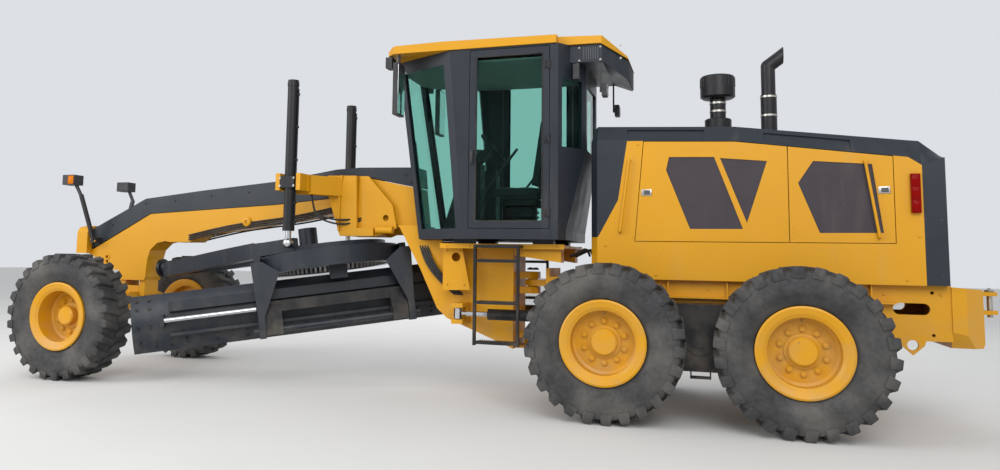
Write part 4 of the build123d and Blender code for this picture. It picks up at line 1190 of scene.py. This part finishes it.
@dataclass
class FrameHardware:
    """Bolts, pins, caps and pads along the two frames."""

    cover_screws: Outline = ((7600, 1700), (7127, 1960), (6700, 1990), (6200, 2040), (5700, 2080),
                             (5200, 2120), (4700, 2200), (4350, 2250), (3760, 2240), (3700, 2160))
    joint_x: float = 2400.0
    tow_pin_x: float = -1590.0
    frame_bolts: tuple[float, ...] = (-1120.0, -700.0, -420.0, -100.0, 220.0, 700.0, 1220.0)
    axle_z: float = 672.0
    wheel_base: float = 1543.0
    lift_x: float = 4842.0
    lift_y: float = 727.0

    def gooseneck(self) -> None:
        """Build the beam's cover screws, boss cap and nose bolts."""
        screws, bosses = Shape(), Shape()
        for x, z in self.cover_screws:
            screws.bolt((x, 156, z), (0, 1, 0), 8)
        screws.twin().piece("beam_cover_screws", "front_frame", Finish.BLACK)
        bosses.ring([(20, 0), (50, 0), (50, 10), (44, 14), (20, 14)], (5700, 172, 1740), (0, 1, 0))
        bosses.ring(sleeve(20.5, 38, -2, 8), (7660, 150, 1312), (0, 1, 0))
        for x, z in ((7760, 1500), (7820, 1520)):
            bosses.bolt((x, 262, z), (0, 1, 0), 8)
        bosses.twin()
        for y, heights in ((190.0, (1400.0, 1520.0)), (95.0, (1400.0, 1520.0, 1630.0))):
            for z in heights:
                for way in (-1, 1):
                    bosses.bolt((8048, way * y, z), (1, 0, 0), 1.5)
        bosses.piece("beam_bosses", "front_frame", Finish.YELLOW)

    def articulation(self) -> None:
        """Build the articulation pin's caps."""
        caps = Shape()
        for z in (1262.0, 520.0):
            caps.rod((self.joint_x, 0, z - 4), (self.joint_x, 0, z + 14), 62, 56, 32, 2)
            for x, y in around(6, 40.0):
                caps.bolt((self.joint_x + x, y, z + 13), (0, 0, 1), 7)
        caps.piece("articulation_caps", "front_frame", Finish.IRON)

    def rear(self) -> None:
        """Build the rear frame's bolts, the towing pin and the hub flanges' bolts."""
        pin, bolts, flanges, x = Shape(), Shape(), Shape(), self.tow_pin_x
        pin.rod((x, 0, 930), (x, 0, 1168), 22, sides=24, bevel=3)
        pin.rod((x, 0, 1150), (x, 0, 1164), 38, sides=24, bevel=3)
        pin.rod((x, -30, 1176), (x, 30, 1176), 6, sides=10)
        pin.piece("towing_pin_steel", "rear_frame", Finish.ZINC)
        for x in self.frame_bolts:
            bolts.bolt((x, 470, 1120), (0, 1, 0), 10)
        bolts.twin().piece("rear_frame_bolts", "rear_frame", Finish.YELLOW)
        for axle_x in (0.0, self.wheel_base):
            for x, z in around(12, 148.0):
                flanges.bolt((axle_x + x, 846, self.axle_z + z), (0, 1, 0), 7)
        flanges.twin().piece("hub_flange_bolts", "rear_frame", Finish.BLACK)

    def lift_cylinder(self, side: Side) -> None:
        """Build one lift cylinder's glands, pipe and trunnion bolts.

        Args:
            side: The machine's side.
        """
        x, y, shape, bolts = self.lift_x, side.way * self.lift_y, Shape(), Shape()
        for low, high, bore, radius in ((1618, 1672, 40, 63), (1690, 1704, 40, 61), (3150, 3190, 30, 62)):
            shape.ring(sleeve(bore, radius, 0, high - low), (x, y, low), (0, 0, 1))
        shape.rod((x - 66, y, 1690), (x - 66, y, 3120), 8, sides=12)
        for z in (1695.0, 1900.0, 2350.0, 2700.0, 3050.0):
            shape.block((x - 78, y - 14, z), (x - 50, y + 14, z + 24), 3)
        shape.piece(f"lift_gland_{side.name}", f"lift_barrel_{side.name}", Finish.BLACK)
        for step in (-80, 80):
            for z in (2085.0, 2165.0):
                bolts.bolt((x + step, side.way * 797, z), (0, side.way, 0), 9)
        bolts.piece(f"trunnion_bolts_{side.name}", f"lift_barrel_{side.name}", Finish.ZINC)

    def build(self) -> None:
        """Build the frames' hardware."""
        self.gooseneck()
        self.articulation()
        self.rear()
        for side in SIDES:
            self.lift_cylinder(side)


# ---------------- blade
@dataclass
class BladeGroup:
    """Cutting edge, blade bolts, the circle's teeth and the drawbar's ball cap, in their own frames."""

    left: float = 2080.0
    right: float = -1580.0
    edge_n: float = 165.0
    top: float = -367.0
    bottom: float = -955.0
    back: float = 284.0
    curve: float = 593.0
    edges: int = 3
    bolts: int = 24
    rows: tuple[float, ...] = (-850.0, -905.0)
    end_rows: tuple[float, ...] = (-425.0, -510.0, -700.0)
    teeth: int = 72
    tooth_circle: float = 654.0

    def back_bolt(self, shape: Shape, d: float, t: float, size: float) -> None:
        """Add a bolt that stands on the blade's round back.

        Args:
            shape: The shape that gains it.
            d: Place along the blade.
            t: Height in the circle's frame.
            size: Radius of the head.
        """
        rise = t - (self.top + self.bottom) / 2
        reach = (self.curve ** 2 - rise ** 2) ** 0.5
        shape.bolt((d, self.back - self.curve + reach, t), (0, reach, rise), size)

    def cutting_edge(self) -> None:
        """Build the cutting edge in three lengths with its two end bits."""
        edge, n = Shape(), self.edge_n
        joints = spread(self.right, self.left, self.edges + 1)
        for start, end in zip(joints, joints[1:]):
            edge.block((start + 2, n - 8, self.bottom), (end - 2, n + 2, self.bottom + 150), 2)
        for start, end in ((self.left - 190, self.left - 6), (self.right + 6, self.right + 190)):
            edge.block((start, n - 12, self.bottom), (end, n - 6, self.bottom + 174), 2)
        edge.piece("cutting_edge", "moldboard", Finish.STEEL, CIRCLE)

    def blade_bolts(self) -> None:
        """Build the edge bolts' heads, their nuts and the left end's bolts."""
        heads, nuts = Shape(), Shape()
        for d in spread(self.right + 70, self.left - 70, self.bolts):
            for t in self.rows:
                heads.rod((d, self.edge_n - 7, t), (d, self.edge_n - 12, t), 15, 13, 14)
                self.back_bolt(nuts, d, t, 12)
        heads.piece("edge_bolts", "moldboard", Finish.STEEL, CIRCLE)
        for d in (self.left - 60, self.left - 180):
            for t in self.end_rows:
                self.back_bolt(nuts, d, t, 16)
        nuts.piece("edge_nuts", "moldboard", Finish.BLACK, CIRCLE)

    def build(self) -> None:
        """Build the blade's fittings, the teeth and the ball's cap."""
        self.cutting_edge()
        self.blade_bolts()
        teeth, ball = Shape(), Shape()
        for d, n in around(self.teeth, self.tooth_circle):
            teeth.rod((d, n, -290), (d, n, -130), 22, 22, 5)
        teeth.piece("circle_teeth", "circle", Finish.STEEL, CIRCLE)
        ball.ring(sleeve(80, 112, 6, 46), (0, 0, 0), (1, 0, 0))
        for y, t in around(8, 97.0):
            ball.bolt((45, y, t), (1, 0, 0), 9)
        ball.piece("ball_cap", "front_frame", Finish.BLACK, DRAWBAR)


@dataclass(frozen=True)
class Bundle:
    """Like hoses laid side by side, given for the machine's left side.

    Attributes:
        name: What they run along.
        count: Number of hoses.
        radius: Half a hose's diameter.
        route: The first hose's control points.
        steps: How far each of those points moves for the next hose.
        body: The body that carries them.
        frame_of: The drawbar's own frame, or the machine's.
    """

    name: str
    count: int
    radius: float
    route: tuple[Point, ...]
    steps: tuple[Point, ...]
    body: str = "front_frame"
    frame_of: Matrix = Matrix()

    def lay(self, side: Side) -> None:
        """Lay the hoses on one side.

        Args:
            side: The machine's side.
        """
        for i in range(self.count):
            spots = [Vector(start) + Vector(step) * i for start, step in zip(self.route, self.steps)]
            points = [self.frame_of @ Vector((spot.x, side.way * spot.y, spot.z)) for spot in spots]
            hose(f"{self.name}_hose_{side.name}_{i}", self.body, points, self.radius)


@dataclass
class Hoses:
    """Hydraulic hoses laid along the machine, each riding on one body."""

    bundles: tuple[Bundle, ...] = (
        Bundle("leg", 4, 11, ((3560, 250, 1540), (3500, 300, 1380), (3390, 318, 1220), (3270, 306, 1100),
                              (3170, 285, 1010), (3110, 240, 960)), ((-27, 0, 0),) * 6),
        Bundle("saddle", 2, 10, ((4160, 165, 1790), (4330, 250, 1760), (4500, 340, 1750), (4680, 420, 1800),
                                 (4700, 470, 1900), (4690, 520, 2010)),
               ((0, 0, 0), (0, 0, -45), (0, 0, -45), (0, 0, -22.5), (0, 0, 0), (0, 0, 0))),
        Bundle("beam", 3, 10, ((4500, 163, 1920), (5000, 163, 1810), (5500, 163, 1750), (6000, 163, 1690),
                               (6480, 163, 1580)), ((0, 0, -26),) * 5),
        Bundle("drawbar", 2, 10, ((-200, 62, 58), (-700, 232, 62), (-1200, 402, 62), (-1560, 520, 58)),
               ((0, -24, 0),) * 4, "drawbar", DRAWBAR),
        Bundle("cab", 3, 11, ((1805, 110, 1400), (1830, 120, 1480), (1890, 110, 1450), (1990, 102, 1400)),
               ((0, 45, 25), (0, 45, 0), (0, 45, 0), (0, 45, 0))),
    )

    def build(self) -> None:
        """Lay every hose."""
        for side in SIDES:
            for bundle in self.bundles:
                bundle.lay(side)


# ---------------- finishes of the solid parts
class Dressing:
    """Gives each solid node its finish."""

    def build(self) -> None:
        """Assign each node's material by the record's slot for it."""
        plain = {finish.value.slot: finish for finish in reversed(Finish)}
        for part in frame["record"]["subparts"]:
            node = frame["nodes"][part["node"]]
            node.data.materials.clear()
            node.data.materials.append(plain[part["material_slot"]].material())


# ---------------- surroundings
@dataclass
class Studio:
    """Pale floor, soft lamps and the camera."""

    eye: Point = (-2.5273, 8.0753, 1.3349)
    yaw: float = 0.3317
    pitch: float = 0.0989
    roll: float = 0.0174
    lens: float = 28.584
    shift: tuple[float, float] = (0.0629, -0.0532)
    floor_half: float = 60.0
    aim: Point = (2.0, 0.0, 1.0)
    sky: Point = (0.90, 0.93, 0.97)
    sky_strength: float = 0.80
    lamps: list[tuple[str, Point, float, float]] = field(default_factory=lambda: [
        ("key", (-5.0, 14.0, 10.0), 1500.0, 10.0),
        ("fill", (9.0, 8.0, 6.0), 700.0, 8.0),
        ("back", (2.0, -12.0, 8.0), 600.0, 10.0),
    ])

    def floor(self) -> None:
        """Lay the floor."""
        mesh = bmesh.new()
        bmesh.ops.create_grid(mesh, x_segments=1, y_segments=1, size=self.floor_half)
        data = bpy.data.meshes.new("floor")
        mesh.to_mesh(data)
        mesh.free()
        floor = bpy.data.objects.new("floor", data)
        bpy.context.scene.collection.objects.link(floor)
        look = Pattern("pale_floor", 0.8)
        look.colour(look.blend(look.noise(0.8, 3.0), (0.66, 0.65, 0.63), (0.60, 0.59, 0.57)))
        data.materials.append(look.material)

    def light(self) -> None:
        """Hang the lamps and set the world."""
        for name, place, power, size in self.lamps:
            lamp = bpy.data.lights.new(name, "AREA")
            lamp.energy = power
            lamp.size = size
            body = bpy.data.objects.new(name, lamp)
            body.location = place
            body.rotation_euler = (Vector(self.aim) - Vector(place)).to_track_quat("-Z", "Y").to_euler()
            body.visible_transmission = False
            body.visible_glossy = name != "back"
            bpy.context.scene.collection.objects.link(body)
        world = bpy.data.worlds.new("sky")
        bpy.context.scene.world = world
        world.use_nodes = True
        background = world.node_tree.nodes["Background"]
        background.inputs["Color"].default_value = (*self.sky, 1.0)
        background.inputs["Strength"].default_value = self.sky_strength

    def camera(self) -> None:
        """Set the camera to the side of the machine, low and turned towards its front."""
        data = bpy.data.cameras.new("camera")
        data.sensor_width = 36.0
        data.lens = self.lens
        data.shift_x, data.shift_y = self.shift
        eye = bpy.data.objects.new("camera", data)
        look = Vector((sin(self.yaw) * cos(self.pitch), -cos(self.yaw) * cos(self.pitch), sin(self.pitch)))
        turn = look.to_track_quat("-Z", "Y").to_matrix() @ Matrix.Rotation(self.roll, 3, "Z")
        eye.matrix_world = Matrix.Translation(self.eye) @ turn.to_4x4()
        bpy.context.scene.collection.objects.link(eye)
        bpy.context.scene.camera = eye

    def build(self) -> None:
        """Build floor, lamps and camera."""
        bpy.context.scene.view_settings.view_transform = "Standard"
        self.floor()
        self.light()
        self.camera()


def main() -> None:
    """Build the dressed machine."""
    logging.basicConfig(level=logging.INFO, format="%(message)s")
    for group in (Studio(), Dressing(), WheelSet(), RimHardware(), HoodTrim(), CabTrim(), Seat(),
                  LadderTreads(), FrameHardware(), BladeGroup(), Hoses()):
        group.build()
        LOG.info("%s is built", type(group).__name__)


if __name__ == "__main__":
    main()
